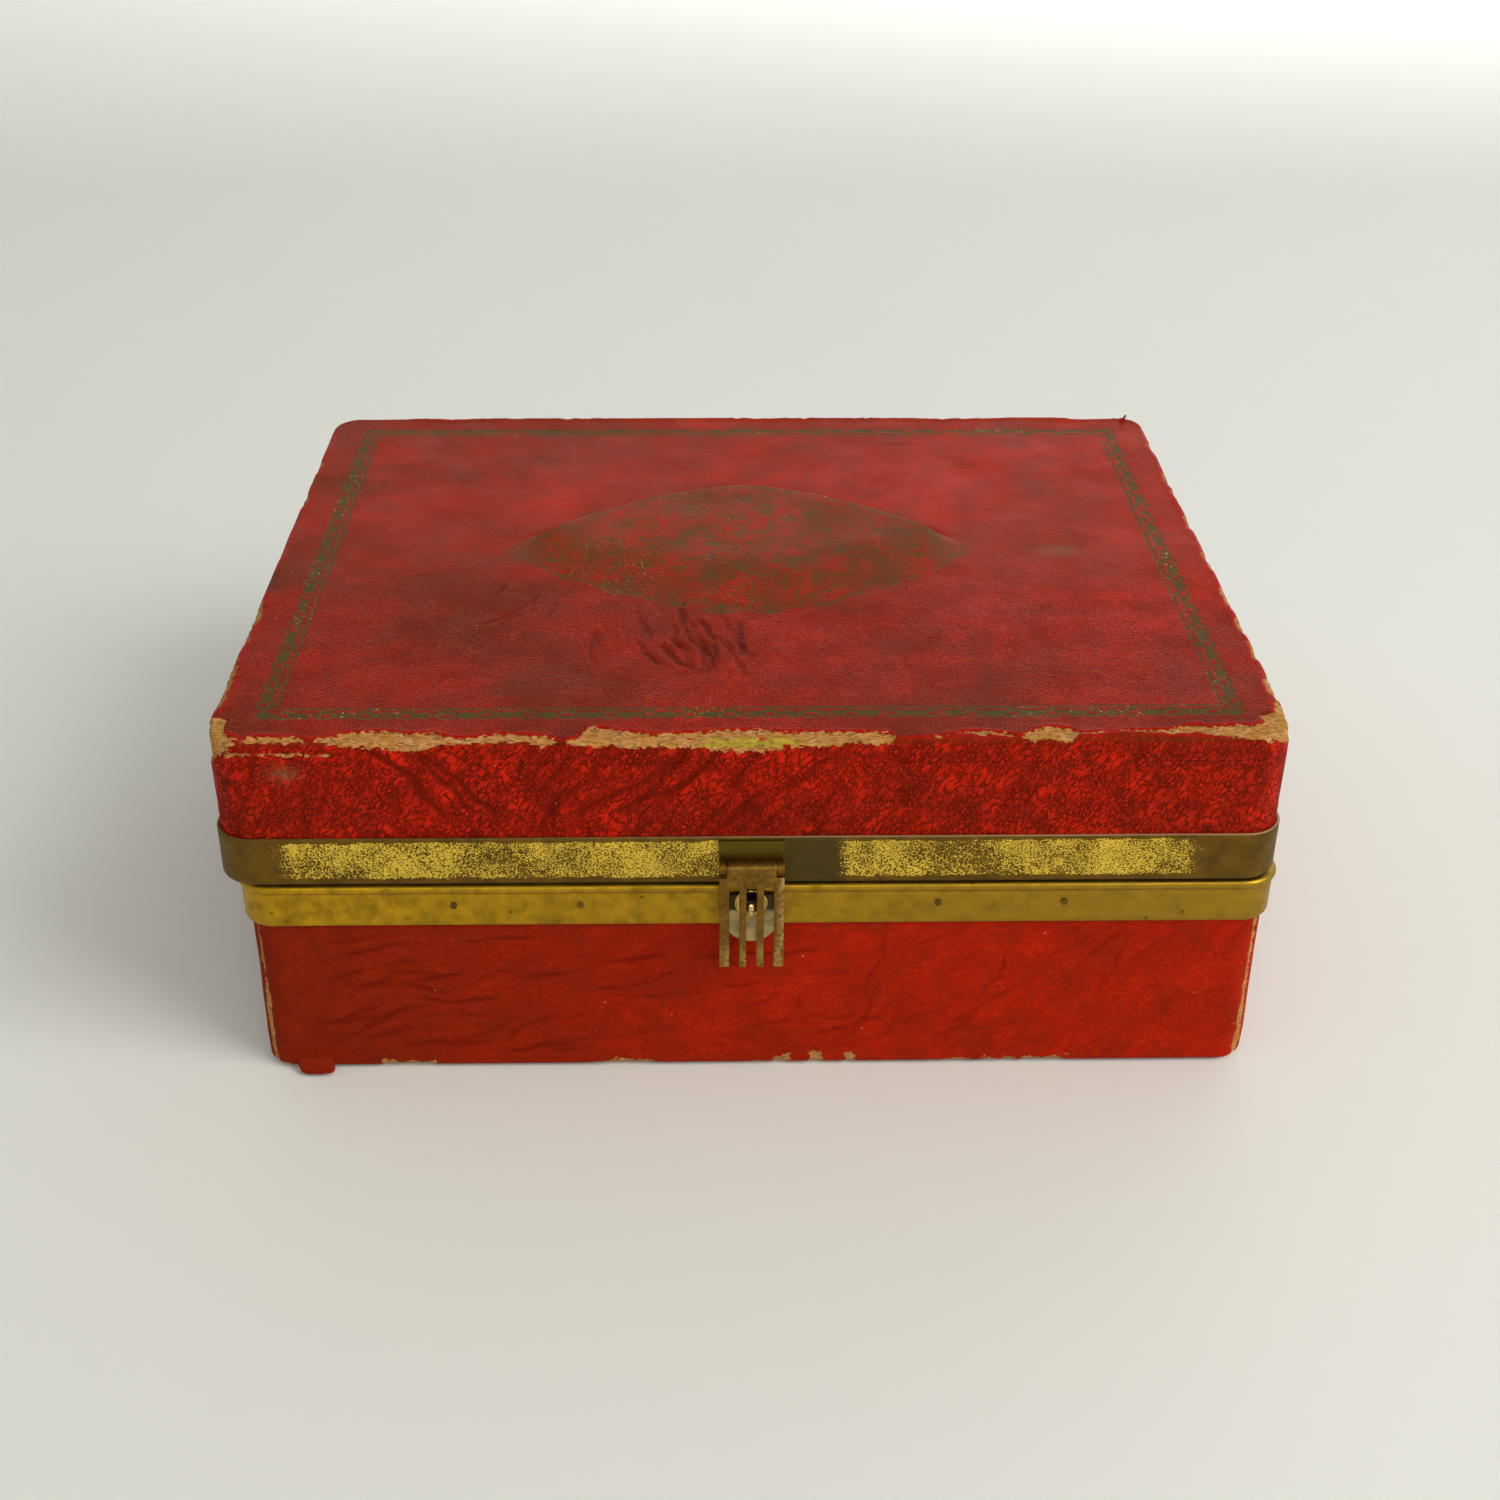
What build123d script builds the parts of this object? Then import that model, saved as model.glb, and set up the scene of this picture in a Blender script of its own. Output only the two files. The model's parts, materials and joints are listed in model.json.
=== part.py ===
from build123d import *
import os

# A leather jewellery case with two brass rims, a comb hasp on the front, stop hinges at the
# back and a lift-out tray inside. Millimetres. X runs to the right, Y to the back, Z up.
# The origin is the middle of the underside, on the surface that the case stands on.

# ---- outer sizes -------------------------------------------------------------------------
BODY_WIDTH = 236.5          # over the leather
BODY_DEPTH = 187.0
LID_OVERHANG_X = 1.75       # the lid's leather beyond the body's, at each side
LID_OVERHANG_Y = 1.5        # and at the front and back
LID_SHIFT = -2.0            # the lid sits this far to the left on its hinges
CLOSED_HEIGHT = 92.5        # to the flat of the lid's leather, without the raised medallion
RIM_HEIGHT = 54.2           # top of the body's brass rim
RIM_GAP = 0.8               # between the two rims when closed
BODY_CORNER_R = 7.0         # vertical corners, over the leather
LID_CORNER_R = 8.0

# ---- boards, leather and linings ----------------------------------------------------------
BOARD = 4.0                 # wall boards, base board and lid board
LEATHER = 1.0
TURN_IN = 12.0              # leather turned over the board's edge
BASE_COVER = 0.6            # paper on the underside
BASE_COVER_MARGIN = 5.0
WADDING = 0.7               # under the lid's top leather
TOP_LEATHER = 0.8
LINING = 1.5                # covered card on the walls
LINING_GAP = 0.2            # between a lining's top and a rim's inner flange
FLOOR_PAD = 4.0
LID_PAD = 4.5
PAD_CLEARANCE = 0.3
PAD_EDGE_R = 1.2

# ---- raised medallion on the lid ----------------------------------------------------------
MEDALLION_LENGTH = 120.0
MEDALLION_WIDTH = 72.0
MEDALLION_RISE = 2.5

# ---- brass rims ---------------------------------------------------------------------------
RIM_SHEET = 1.2             # body rim's outer flange
LID_RIM_SHEET = 0.8         # lid rim's outer flange
RIM_WEB = 1.2               # the part that covers the boards' edges
BODY_RIM_FLANGE = 11.2      # height of the outer flange
LID_RIM_FLANGE = 12.5
INNER_FLANGE = 4.5
INNER_FLANGE_SHEET = 0.8
BEAD_PROUD = 0.7            # rolled bead along the body rim's top
BEAD_HEIGHT = 2.5
BEAD_R = 1.1
LID_RIM_ROLL_R = 1.1
LID_RIM_TOP_R = 0.3

# ---- pins that hold the body rim ----------------------------------------------------------
RIM_PIN_R = 0.5
RIM_PIN_HEAD_R = 0.8
RIM_PIN_HEAD = 0.3
RIM_PIN_DEPTH = 3.0         # into the board
RIM_PIN_BELOW_TOP = 5.6
RIM_PINS_X = (-70.0, -41.0, 41.0, 70.0)
RIM_PINS_Y = (-55.0, 0.0, 55.0)

# ---- stop hinges at the back --------------------------------------------------------------
HINGE_X = 70.0              # centre of each hinge from the middle
HINGE_WIDTH = 36.0
HINGE_LEAF = 1.0
HINGE_LEAF_HEIGHT = 10.0
HINGE_BARREL_R = 2.0
HINGE_PIN_R = 0.9
HINGE_BORE_GAP = 0.05       # radial, round the pin
HINGE_KNUCKLES = 5          # odd ones on the body, even ones on the lid
HINGE_KNUCKLE_GAP = 0.2
HINGE_SWEEP_GAP = 0.3
HINGE_RIM_GAP = 0.2         # from the lid rim's face to the barrel
HINGE_PIN_OVERHANG = 0.4
LID_OPEN_ANGLE = 100.0
STOP_LENGTH = 3.8           # from the pin's centre
STOP_THICK = 1.2
STOP_GAP = 0.05
HINGE_RIVET_R = 0.8
HINGE_RIVET_HEAD_R = 1.4
HINGE_RIVET_HEAD = 0.5
HINGE_RIVET_X = 11.0        # from the hinge's centre

# ---- comb hasp ----------------------------------------------------------------------------
HASP_OUTER_PRONG = 2.3
HASP_INNER_PRONG = 1.6
HASP_SLOT = 2.3
HASP_SLOTS = 3
HASP_SHEET = 0.9
HASP_LENGTH = 27.1
HASP_SLOT_LENGTH = 21.7     # open at the tips
HASP_ABOVE_RIM = 8.2        # its top above the body rim's
HASP_BARREL_R = 1.6
HASP_PIN_R = 0.7
HASP_BORE_GAP = 0.05
HASP_LEAF = 0.8
HASP_LEAF_ABOVE_BARREL = 4.5
HASP_LEAF_BELOW_AXIS = 3.4
HASP_END_KNUCKLE = 1.6
HASP_KNUCKLE_GAP = 0.15
HASP_BULGE = 0.65           # plate stands out most here, near the top of the slots
HASP_BULGE_BELOW_AXIS = 3.5
HASP_WAIST = 0.1            # and least beside the knob
HASP_FLARE = 0.95           # and flares at the tips
CLIP_SHEET = 0.35           # spring clip inside the hasp
CLIP_DEPTH = 2.4
CLIP_HEIGHT = 5.5
CLIP_BRIDGE = 0.6
CLIP_OVER_KNOB = 0.8        # from the knob's top to the bridge

# ---- catch on the body rim ----------------------------------------------------------------
CATCH_WIDTH = 11.0
CATCH_SHEET = 0.8
CATCH_LENGTH = 12.9
CATCH_BELOW_BEAD = 0.2
CATCH_ROUND = 3.5           # depth of the tongue's rounded end
KNOB_R = 2.3
KNOB_GAP = 0.1              # between the knob and the clip
KNOB_BELOW_BEAD = 0.1
KNOB_STANDOFF = 1.0         # from the catch plate's face to the knob's centre
KNOB_SHANK_R = 1.0
KNOB_SHANK_DEPTH = 2.5      # into the front board

# ---- lift-out tray ------------------------------------------------------------------------
TRAY_SIDE_GAP = 1.25        # to the body's linings, left and right
TRAY_END_GAP = 1.0          # front and back
TRAY_HEIGHT = 20.0
TRAY_BELOW_RIM = 3.2
TRAY_WALL = 3.0
TRAY_FLOOR = 2.0
TRAY_CORNER_R = 1.5
DIVIDER = 2.4
DIVIDER_BELOW_RIM = 3.0
TRAY_LEDGE_WIDTH = 6.0
TRAY_LEDGE_HEIGHT = 5.0
TRAY_LEDGE_END_GAP = 7.0    # to the linings, front and back
RING_ROLLS = 5
RING_ROLL_PITCH = 11.0
RING_ROLL_GAP = 0.2
RING_ROLL_HEIGHT = 12.0
RING_SECTION_WIDTH = 100.0
BACK_DIVIDER_X = 36.0
TAB_WIDTH = 14.0
TAB_SHEET = 1.0
TAB_LENGTH = 20.0
TAB_ABOVE_TRAY = 9.0

# ---- places worked out from the sizes above ------------------------------------------------
BOARD_BOTTOM = BASE_COVER + LEATHER
LID_WIDTH = BODY_WIDTH + 2 * LID_OVERHANG_X
LID_DEPTH = BODY_DEPTH + 2 * LID_OVERHANG_Y
LID_RIM_BOTTOM = RIM_HEIGHT + RIM_GAP
LID_RIM_TOP = LID_RIM_BOTTOM + LID_RIM_FLANGE
LID_BOARD_TOP = CLOSED_HEIGHT - TOP_LEATHER - WADDING
LID_BOARD_BOTTOM = LID_BOARD_TOP - BOARD
BODY_INSIDE_W = BODY_WIDTH - 2 * (LEATHER + BOARD)
BODY_INSIDE_D = BODY_DEPTH - 2 * (LEATHER + BOARD)
LID_INSIDE_W = LID_WIDTH - 2 * (LEATHER + BOARD)
LID_INSIDE_D = LID_DEPTH - 2 * (LEATHER + BOARD)
BODY_RIM_FACE = BODY_DEPTH / 2 + RIM_SHEET          # flat of the body rim, front and back
BEAD_FACE = BODY_RIM_FACE + BEAD_PROUD
LID_RIM_FACE = LID_DEPTH / 2 + LID_RIM_SHEET
HINGE_Y = LID_RIM_FACE + HINGE_RIM_GAP + HINGE_BARREL_R
HINGE_Z = RIM_HEIGHT + RIM_GAP / 2
CLASP_X = LID_SHIFT
HASP_WIDTH = 2 * HASP_OUTER_PRONG + (HASP_SLOTS - 1) * HASP_INNER_PRONG + HASP_SLOTS * HASP_SLOT
HASP_AXIS_Y = -(LID_RIM_FACE + HASP_LEAF + HASP_KNUCKLE_GAP + HASP_BARREL_R)
HASP_TOP = RIM_HEIGHT + HASP_ABOVE_RIM
HASP_AXIS_Z = HASP_TOP - HASP_BARREL_R
HASP_TIP = HASP_TOP - HASP_LENGTH
HASP_SLOT_TOP = HASP_TIP + HASP_SLOT_LENGTH
CATCH_FACE = BODY_RIM_FACE + CATCH_SHEET
CATCH_TOP = RIM_HEIGHT - BEAD_HEIGHT - CATCH_BELOW_BEAD
CATCH_BOTTOM = CATCH_TOP - CATCH_LENGTH
KNOB_Z = RIM_HEIGHT - BEAD_HEIGHT - KNOB_BELOW_BEAD - KNOB_R
TRAY_W = BODY_INSIDE_W - 2 * (LINING + TRAY_SIDE_GAP)
TRAY_D = BODY_INSIDE_D - 2 * (LINING + TRAY_END_GAP)
TRAY_INSIDE_W = TRAY_W - 2 * TRAY_WALL
TRAY_INSIDE_D = TRAY_D - 2 * TRAY_WALL
TRAY_TOP = RIM_HEIGHT - TRAY_BELOW_RIM
TRAY_BOTTOM = TRAY_TOP - TRAY_HEIGHT
TRAY_FLOOR_TOP = TRAY_BOTTOM + TRAY_FLOOR
FRONT_ROW = RING_ROLLS * RING_ROLL_PITCH + RING_ROLL_GAP
DIVIDER_Y = -TRAY_INSIDE_D / 2 + FRONT_ROW + DIVIDER / 2


def block(x0, x1, y0, y1, z0, z1):
    """A box between two corners."""
    return Pos((x0 + x1) / 2, (y0 + y1) / 2, (z0 + z1) / 2) * Box(x1 - x0, y1 - y0, z1 - z0)


def slab(width, depth, z0, z1, corner_r=0.0):
    """An upright plate centred on the origin, with round corners in plan."""
    outline = RectangleRounded(width, depth, corner_r) if corner_r else Rectangle(width, depth)
    return extrude(Pos(0, 0, z0) * outline, amount=z1 - z0)


def rod(x0, x1, y, z, radius):
    """A cylinder along X."""
    return Pos((x0 + x1) / 2, y, z) * Rot(0, 90, 0) * Cylinder(radius, x1 - x0)


def stud(x, z, y0, y1, radius):
    """A cylinder along Y."""
    return Pos(x, (y0 + y1) / 2, z) * Rot(90, 0, 0) * Cylinder(radius, y1 - y0)


def mitred_walls(width, depth, corner_r, wall, z0, z1):
    """Four boards round a rectangle, mitred at the corners: front, back, left and right."""
    inner_w = width - 2 * wall
    inner_d = depth - 2 * wall
    walls = slab(width, depth, z0, z1, corner_r) - slab(inner_w, inner_d, z0, z1)
    boards = {}
    for name, sx, sy in (("front", 0, -1), ("back", 0, 1), ("left", -1, 0), ("right", 1, 0)):
        if sy:
            corners = [(-width / 2, sy * depth / 2), (width / 2, sy * depth / 2),
                       (inner_w / 2, sy * inner_d / 2), (-inner_w / 2, sy * inner_d / 2)]
        else:
            corners = [(sx * width / 2, -depth / 2), (sx * width / 2, depth / 2),
                       (sx * inner_w / 2, inner_d / 2), (sx * inner_w / 2, -inner_d / 2)]
        share = extrude(Pos(0, 0, z0) * make_face(Polyline(*corners, close=True)), amount=z1 - z0)
        boards[name] = walls & share
    return boards


def wall_linings(inside_w, inside_d, z0, z1):
    """Four covered cards against the inside of the walls."""
    half_w, half_d = inside_w / 2, inside_d / 2
    return {
        "front": block(-half_w, half_w, -half_d, -half_d + LINING, z0, z1),
        "back": block(-half_w, half_w, half_d - LINING, half_d, z0, z1),
        "left": block(-half_w, -half_w + LINING, -half_d + LINING, half_d - LINING, z0, z1),
        "right": block(half_w - LINING, half_w, -half_d + LINING, half_d - LINING, z0, z1),
    }


def pad(inside_w, inside_d, z0, z1, crown):
    """A covered pad that fills the space between the linings; crown is +1 for a crowned top."""
    width = inside_w - 2 * (LINING + PAD_CLEARANCE)
    depth = inside_d - 2 * (LINING + PAD_CLEARANCE)
    plain = slab(width, depth, z0, z1)
    return fillet(plain.edges().group_by(Axis.Z)[-1 if crown > 0 else 0], PAD_EDGE_R)


def body_rim():
    """Brass channel over the top of the body's walls, with a rolled bead."""
    flange_w = BODY_WIDTH + 2 * RIM_SHEET
    flange_d = BODY_DEPTH + 2 * RIM_SHEET
    flange = slab(flange_w, flange_d, RIM_HEIGHT - BODY_RIM_FLANGE, RIM_HEIGHT - BEAD_R,
                  BODY_CORNER_R + RIM_SHEET)
    bead = slab(flange_w + 2 * BEAD_PROUD, flange_d + 2 * BEAD_PROUD, RIM_HEIGHT - BEAD_HEIGHT,
                RIM_HEIGHT, BODY_CORNER_R + RIM_SHEET + BEAD_PROUD)
    levels = bead.edges().group_by(Axis.Z)
    bead = fillet(levels[0] + levels[-1], BEAD_R)
    web_bottom = RIM_HEIGHT - RIM_WEB
    outer = flange + bead - slab(BODY_WIDTH, BODY_DEPTH, 0, web_bottom, BODY_CORNER_R)
    opening = slab(BODY_INSIDE_W - 2 * INNER_FLANGE_SHEET, BODY_INSIDE_D - 2 * INNER_FLANGE_SHEET,
                   0, RIM_HEIGHT)
    inner = slab(BODY_INSIDE_W, BODY_INSIDE_D, web_bottom - INNER_FLANGE, web_bottom)
    return outer + inner - opening


def lid_rim():
    """Brass channel under the bottom of the lid's walls, with a rolled lower edge."""
    shell = slab(LID_WIDTH + 2 * LID_RIM_SHEET, LID_DEPTH + 2 * LID_RIM_SHEET, LID_RIM_BOTTOM,
                 LID_RIM_TOP, LID_CORNER_R + LID_RIM_SHEET)
    levels = shell.edges().group_by(Axis.Z)
    shell = fillet(levels[0], LID_RIM_ROLL_R)
    shell = fillet(shell.edges().group_by(Axis.Z)[-1], LID_RIM_TOP_R)
    web_top = LID_RIM_BOTTOM + RIM_WEB
    opening = slab(LID_INSIDE_W - 2 * INNER_FLANGE_SHEET, LID_INSIDE_D - 2 * INNER_FLANGE_SHEET,
                   0, CLOSED_HEIGHT)
    inner = slab(LID_INSIDE_W, LID_INSIDE_D, web_top, web_top + INNER_FLANGE)
    return Pos(LID_SHIFT, 0, 0) * (
        shell - slab(LID_WIDTH, LID_DEPTH, web_top, LID_RIM_TOP, LID_CORNER_R) + inner - opening)


def body_leather():
    """Leather round the body's walls, turned in under the base."""
    walls_top = RIM_HEIGHT - RIM_WEB
    outside = slab(BODY_WIDTH, BODY_DEPTH, BASE_COVER, walls_top, BODY_CORNER_R)
    boards = slab(BODY_WIDTH - 2 * LEATHER, BODY_DEPTH - 2 * LEATHER, BOARD_BOTTOM, walls_top,
                  BODY_CORNER_R - LEATHER)
    underside = slab(BODY_WIDTH - 2 * TURN_IN, BODY_DEPTH - 2 * TURN_IN, BASE_COVER, BOARD_BOTTOM)
    return outside - boards - underside


def lid_side_leather():
    """Leather round the lid's walls, turned over the top board's edge."""
    walls_bottom = LID_RIM_BOTTOM + RIM_WEB
    ring_top = LID_BOARD_TOP + WADDING
    outside = slab(LID_WIDTH, LID_DEPTH, walls_bottom, ring_top, LID_CORNER_R)
    boards = slab(LID_WIDTH - 2 * LEATHER, LID_DEPTH - 2 * LEATHER, walls_bottom, LID_BOARD_TOP,
                  LID_CORNER_R - LEATHER)
    middle = slab(LID_WIDTH - 2 * TURN_IN, LID_DEPTH - 2 * TURN_IN, LID_BOARD_TOP, ring_top)
    return Pos(LID_SHIFT, 0, 0) * (outside - boards - middle)


def medallion_dome(top, inset, rise):
    """The upper half of a flat ellipsoid standing on the height `top`."""
    half_length = MEDALLION_LENGTH / 2 - inset
    half_width = MEDALLION_WIDTH / 2 - inset
    whole = scale(Sphere(1.0), by=(half_length, half_width, rise))
    half = whole & block(-half_length, half_length, -half_width, half_width, 0, rise)
    return Pos(0, 0, top) * half


def lid_top():
    """Wadding and the top leather, both raised at the medallion."""
    leather_bottom = LID_BOARD_TOP + WADDING
    wadding = slab(LID_WIDTH - 2 * TURN_IN, LID_DEPTH - 2 * TURN_IN, LID_BOARD_TOP, leather_bottom)
    wadding = wadding + medallion_dome(leather_bottom, TOP_LEATHER, MEDALLION_RISE)
    leather = slab(LID_WIDTH, LID_DEPTH, leather_bottom, CLOSED_HEIGHT, LID_CORNER_R)
    leather = leather + medallion_dome(CLOSED_HEIGHT, 0.0, MEDALLION_RISE) - wadding
    return Pos(LID_SHIFT, 0, 0) * wadding, Pos(LID_SHIFT, 0, 0) * leather


def rim_pins():
    """Small round-headed pins through the body rim's outer flange, on all four sides."""
    z = RIM_HEIGHT - RIM_PIN_BELOW_TOP
    inner = LEATHER + RIM_PIN_DEPTH
    pins = []
    for side in (-1, 1):
        face_y = side * BODY_RIM_FACE
        for x in RIM_PINS_X:
            under_hinge = side > 0 and abs(abs(x) - HINGE_X) < HINGE_WIDTH / 2 + RIM_PIN_HEAD_R
            if under_hinge:
                continue
            shank = stud(x, z, *sorted((face_y, side * (BODY_DEPTH / 2 - inner))), RIM_PIN_R)
            head = stud(x, z, *sorted((face_y, face_y + side * RIM_PIN_HEAD)), RIM_PIN_HEAD_R)
            pins.append(shank + head)
        face_x = side * (BODY_WIDTH / 2 + RIM_SHEET)
        for y in RIM_PINS_Y:
            shank = rod(*sorted((face_x, side * (BODY_WIDTH / 2 - inner))), y, z, RIM_PIN_R)
            head = rod(*sorted((face_x, face_x + side * RIM_PIN_HEAD)), y, z, RIM_PIN_HEAD_R)
            pins.append(shank + head)
    return pins


def knuckle_spans(centre, own):
    """(x0, x1) of each knuckle that is on the body (own 0) or on the lid (own 1)."""
    pitch = HINGE_WIDTH / HINGE_KNUCKLES
    start = centre - HINGE_WIDTH / 2
    return [(start + k * pitch + HINGE_KNUCKLE_GAP / 2, start + (k + 1) * pitch - HINGE_KNUCKLE_GAP / 2)
            for k in range(HINGE_KNUCKLES) if k % 2 == own]


def hinge_leaf(centre, own):
    """One leaf of a stop hinge: own 0 is the body's, own 1 the lid's."""
    half = HINGE_WIDTH / 2
    if own:
        leaf = block(centre - half, centre + half, LID_RIM_FACE, LID_RIM_FACE + HINGE_LEAF,
                     LID_RIM_BOTTOM + LID_RIM_ROLL_R, LID_RIM_BOTTOM + HINGE_LEAF_HEIGHT)
        web_z0, web_z1, web_y0 = HINGE_Z, HINGE_Z + HINGE_BARREL_R, LID_RIM_FACE
    else:
        outer_face = BEAD_FACE + HINGE_LEAF
        bead_bottom = RIM_HEIGHT - BEAD_HEIGHT
        leaf = block(centre - half, centre + half, BODY_RIM_FACE, outer_face,
                     RIM_HEIGHT - HINGE_LEAF_HEIGHT, bead_bottom)
        leaf += block(centre - half, centre + half, BEAD_FACE, outer_face, bead_bottom, RIM_HEIGHT)
        web_z0, web_z1, web_y0 = HINGE_Z - HINGE_BARREL_R, HINGE_Z, BEAD_FACE
    for x0, x1 in knuckle_spans(centre, 1 - own):
        leaf -= rod(x0 - HINGE_KNUCKLE_GAP, x1 + HINGE_KNUCKLE_GAP, HINGE_Y, HINGE_Z,
                    HINGE_BARREL_R + HINGE_SWEEP_GAP)
    for x0, x1 in knuckle_spans(centre, own):
        leaf += rod(x0, x1, HINGE_Y, HINGE_Z, HINGE_BARREL_R)
        leaf += block(x0, x1, web_y0, HINGE_Y, web_z0, web_z1)
        if own:
            leaf += stop_lug(x0, x1)
    return leaf - rod(centre - half, centre + half, HINGE_Y, HINGE_Z, HINGE_PIN_R + HINGE_BORE_GAP)


def stop_lug(x0, x1):
    """A lug that lies flat against the body's leaf when the lid is fully open."""
    body_leaf_face = BEAD_FACE + HINGE_LEAF - HINGE_Y
    lug = block(x0, x1, body_leaf_face + STOP_GAP, body_leaf_face + STOP_GAP + STOP_THICK,
                -STOP_LENGTH, 0)
    return Pos(0, HINGE_Y, HINGE_Z) * Rot(LID_OPEN_ANGLE, 0, 0) * lug


def hinge_rivets(own):
    """Round-headed rivets through the leaves of both hinges."""
    if own:
        face, inner = LID_RIM_FACE + HINGE_LEAF, LID_DEPTH / 2 - LEATHER
        z = (LID_RIM_BOTTOM + RIM_WEB + LID_RIM_BOTTOM + HINGE_LEAF_HEIGHT) / 2
    else:
        face, inner = BEAD_FACE + HINGE_LEAF, BODY_DEPTH / 2 - LEATHER
        z = (RIM_HEIGHT - HINGE_LEAF_HEIGHT + RIM_HEIGHT - BEAD_HEIGHT) / 2
    rivets = []
    for centre in (-HINGE_X, HINGE_X):
        for x in (centre - HINGE_RIVET_X, centre + HINGE_RIVET_X):
            shank = stud(x, z, inner, face, HINGE_RIVET_R)
            rivets.append(shank + stud(x, z, face, face + HINGE_RIVET_HEAD, HINGE_RIVET_HEAD_R))
    return rivets


def hasp_leaf():
    """Plate on the lid rim's front with a narrow knuckle at each end."""
    half = HASP_WIDTH / 2
    face = -LID_RIM_FACE
    leaf = block(CLASP_X - half, CLASP_X + half, face - HASP_LEAF, face,
                 HASP_AXIS_Z - HASP_LEAF_BELOW_AXIS, HASP_TOP + HASP_LEAF_ABOVE_BARREL)
    for x0, x1 in ((-half, -half + HASP_END_KNUCKLE), (half - HASP_END_KNUCKLE, half)):
        leaf += rod(CLASP_X + x0, CLASP_X + x1, HASP_AXIS_Y, HASP_AXIS_Z, HASP_BARREL_R)
        leaf += block(CLASP_X + x0, CLASP_X + x1, HASP_AXIS_Y, face, HASP_AXIS_Z - HASP_BARREL_R,
                      HASP_AXIS_Z + HASP_BARREL_R / 2)
    bore = rod(CLASP_X - half, CLASP_X + half, HASP_AXIS_Y, HASP_AXIS_Z, HASP_PIN_R + HASP_BORE_GAP)
    return leaf - bore


def hasp_plate():
    """The comb: a gently curved plate, rolled round its pin, slotted from the tips up."""
    half = HASP_WIDTH / 2
    top_y = HASP_AXIS_Y - HASP_BARREL_R
    outer = [(top_y, HASP_AXIS_Z),
             (top_y - HASP_BULGE, HASP_AXIS_Z - HASP_BULGE_BELOW_AXIS),
             (top_y - HASP_WAIST, (KNOB_Z + CATCH_BOTTOM) / 2),
             (top_y - HASP_FLARE, HASP_TIP)]
    inner = [(y + HASP_SHEET, z) for y, z in outer]
    edge = Spline(*outer) + Line(outer[-1], inner[-1]) + Spline(*inner[::-1]) + Line(inner[0], outer[0])
    section = Plane.YZ.offset(CLASP_X - half) * make_face(edge)
    plate = extrude(section, amount=HASP_WIDTH)
    end = HASP_END_KNUCKLE + HASP_KNUCKLE_GAP
    for x0, x1 in ((-half, -half + end), (half - end, half)):
        plate -= rod(CLASP_X + x0, CLASP_X + x1, HASP_AXIS_Y, HASP_AXIS_Z,
                     HASP_BARREL_R + HASP_KNUCKLE_GAP)
    plate += rod(CLASP_X - half + end, CLASP_X + half - end, HASP_AXIS_Y, HASP_AXIS_Z, HASP_BARREL_R)
    plate -= rod(CLASP_X - half, CLASP_X + half, HASP_AXIS_Y, HASP_AXIS_Z, HASP_PIN_R + HASP_BORE_GAP)
    for k in range(HASP_SLOTS):
        x0 = CLASP_X - half + HASP_OUTER_PRONG + k * (HASP_SLOT + HASP_INNER_PRONG)
        plate -= block(x0, x0 + HASP_SLOT, top_y - 2 * HASP_FLARE, HASP_AXIS_Y, HASP_TIP - HASP_SHEET,
                       HASP_SLOT_TOP)
    return plate


def hasp_clip(plate):
    """A small spring bridge soldered inside the hasp; its two cheeks grip the knob."""
    reach = KNOB_R + KNOB_GAP
    outer = reach + CLIP_SHEET
    front = HASP_AXIS_Y - HASP_BARREL_R
    back = front + HASP_SHEET + CLIP_DEPTH
    top = KNOB_Z + KNOB_R + CLIP_OVER_KNOB + CLIP_BRIDGE
    clip = block(CLASP_X - outer, CLASP_X + outer, front, back, top - CLIP_HEIGHT, top)
    clip -= block(CLASP_X - reach, CLASP_X + reach, front, back, top - CLIP_HEIGHT,
                  top - CLIP_BRIDGE)
    return clip - plate


def catch_plate():
    """A tongue on the body rim, under the hasp, with a rounded lower end."""
    half = CATCH_WIDTH / 2
    shoulder = CATCH_BOTTOM + CATCH_ROUND
    outline = (Line((-half, shoulder), (-half, CATCH_TOP)) + Line((-half, CATCH_TOP), (half, CATCH_TOP))
               + Line((half, CATCH_TOP), (half, shoulder))
               + ThreePointArc((half, shoulder), (0, CATCH_BOTTOM), (-half, shoulder)))
    face = Plane((CLASP_X, -BODY_RIM_FACE, 0), x_dir=(1, 0, 0), z_dir=(0, -1, 0)) * make_face(outline)
    return extrude(face, amount=CATCH_SHEET)


def catch_knob():
    """A round stud that stands out of the catch plate."""
    ball = Pos(CLASP_X, -(CATCH_FACE + KNOB_STANDOFF), KNOB_Z) * Sphere(KNOB_R)
    reach = CATCH_FACE + KNOB_STANDOFF + KNOB_R
    ball = ball & block(CLASP_X - KNOB_R, CLASP_X + KNOB_R, -reach, -CATCH_FACE,
                        KNOB_Z - KNOB_R, KNOB_Z + KNOB_R)
    inner = BODY_DEPTH / 2 - LEATHER - KNOB_SHANK_DEPTH
    return ball + stud(CLASP_X, KNOB_Z, -CATCH_FACE, -inner, KNOB_SHANK_R)


def ring_roll(k):
    """One padded roll of the ring section, flat below and round above."""
    radius = (RING_ROLL_PITCH - RING_ROLL_GAP) / 2
    y = -TRAY_INSIDE_D / 2 + RING_ROLL_GAP + RING_ROLL_PITCH * k + radius
    half = (RING_SECTION_WIDTH - DIVIDER) / 2 - RING_ROLL_GAP
    shoulder = TRAY_FLOOR_TOP + RING_ROLL_HEIGHT - radius
    return block(-half, half, y - radius, y + radius, TRAY_FLOOR_TOP, shoulder) + rod(
        -half, half, y, shoulder, radius)


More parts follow.
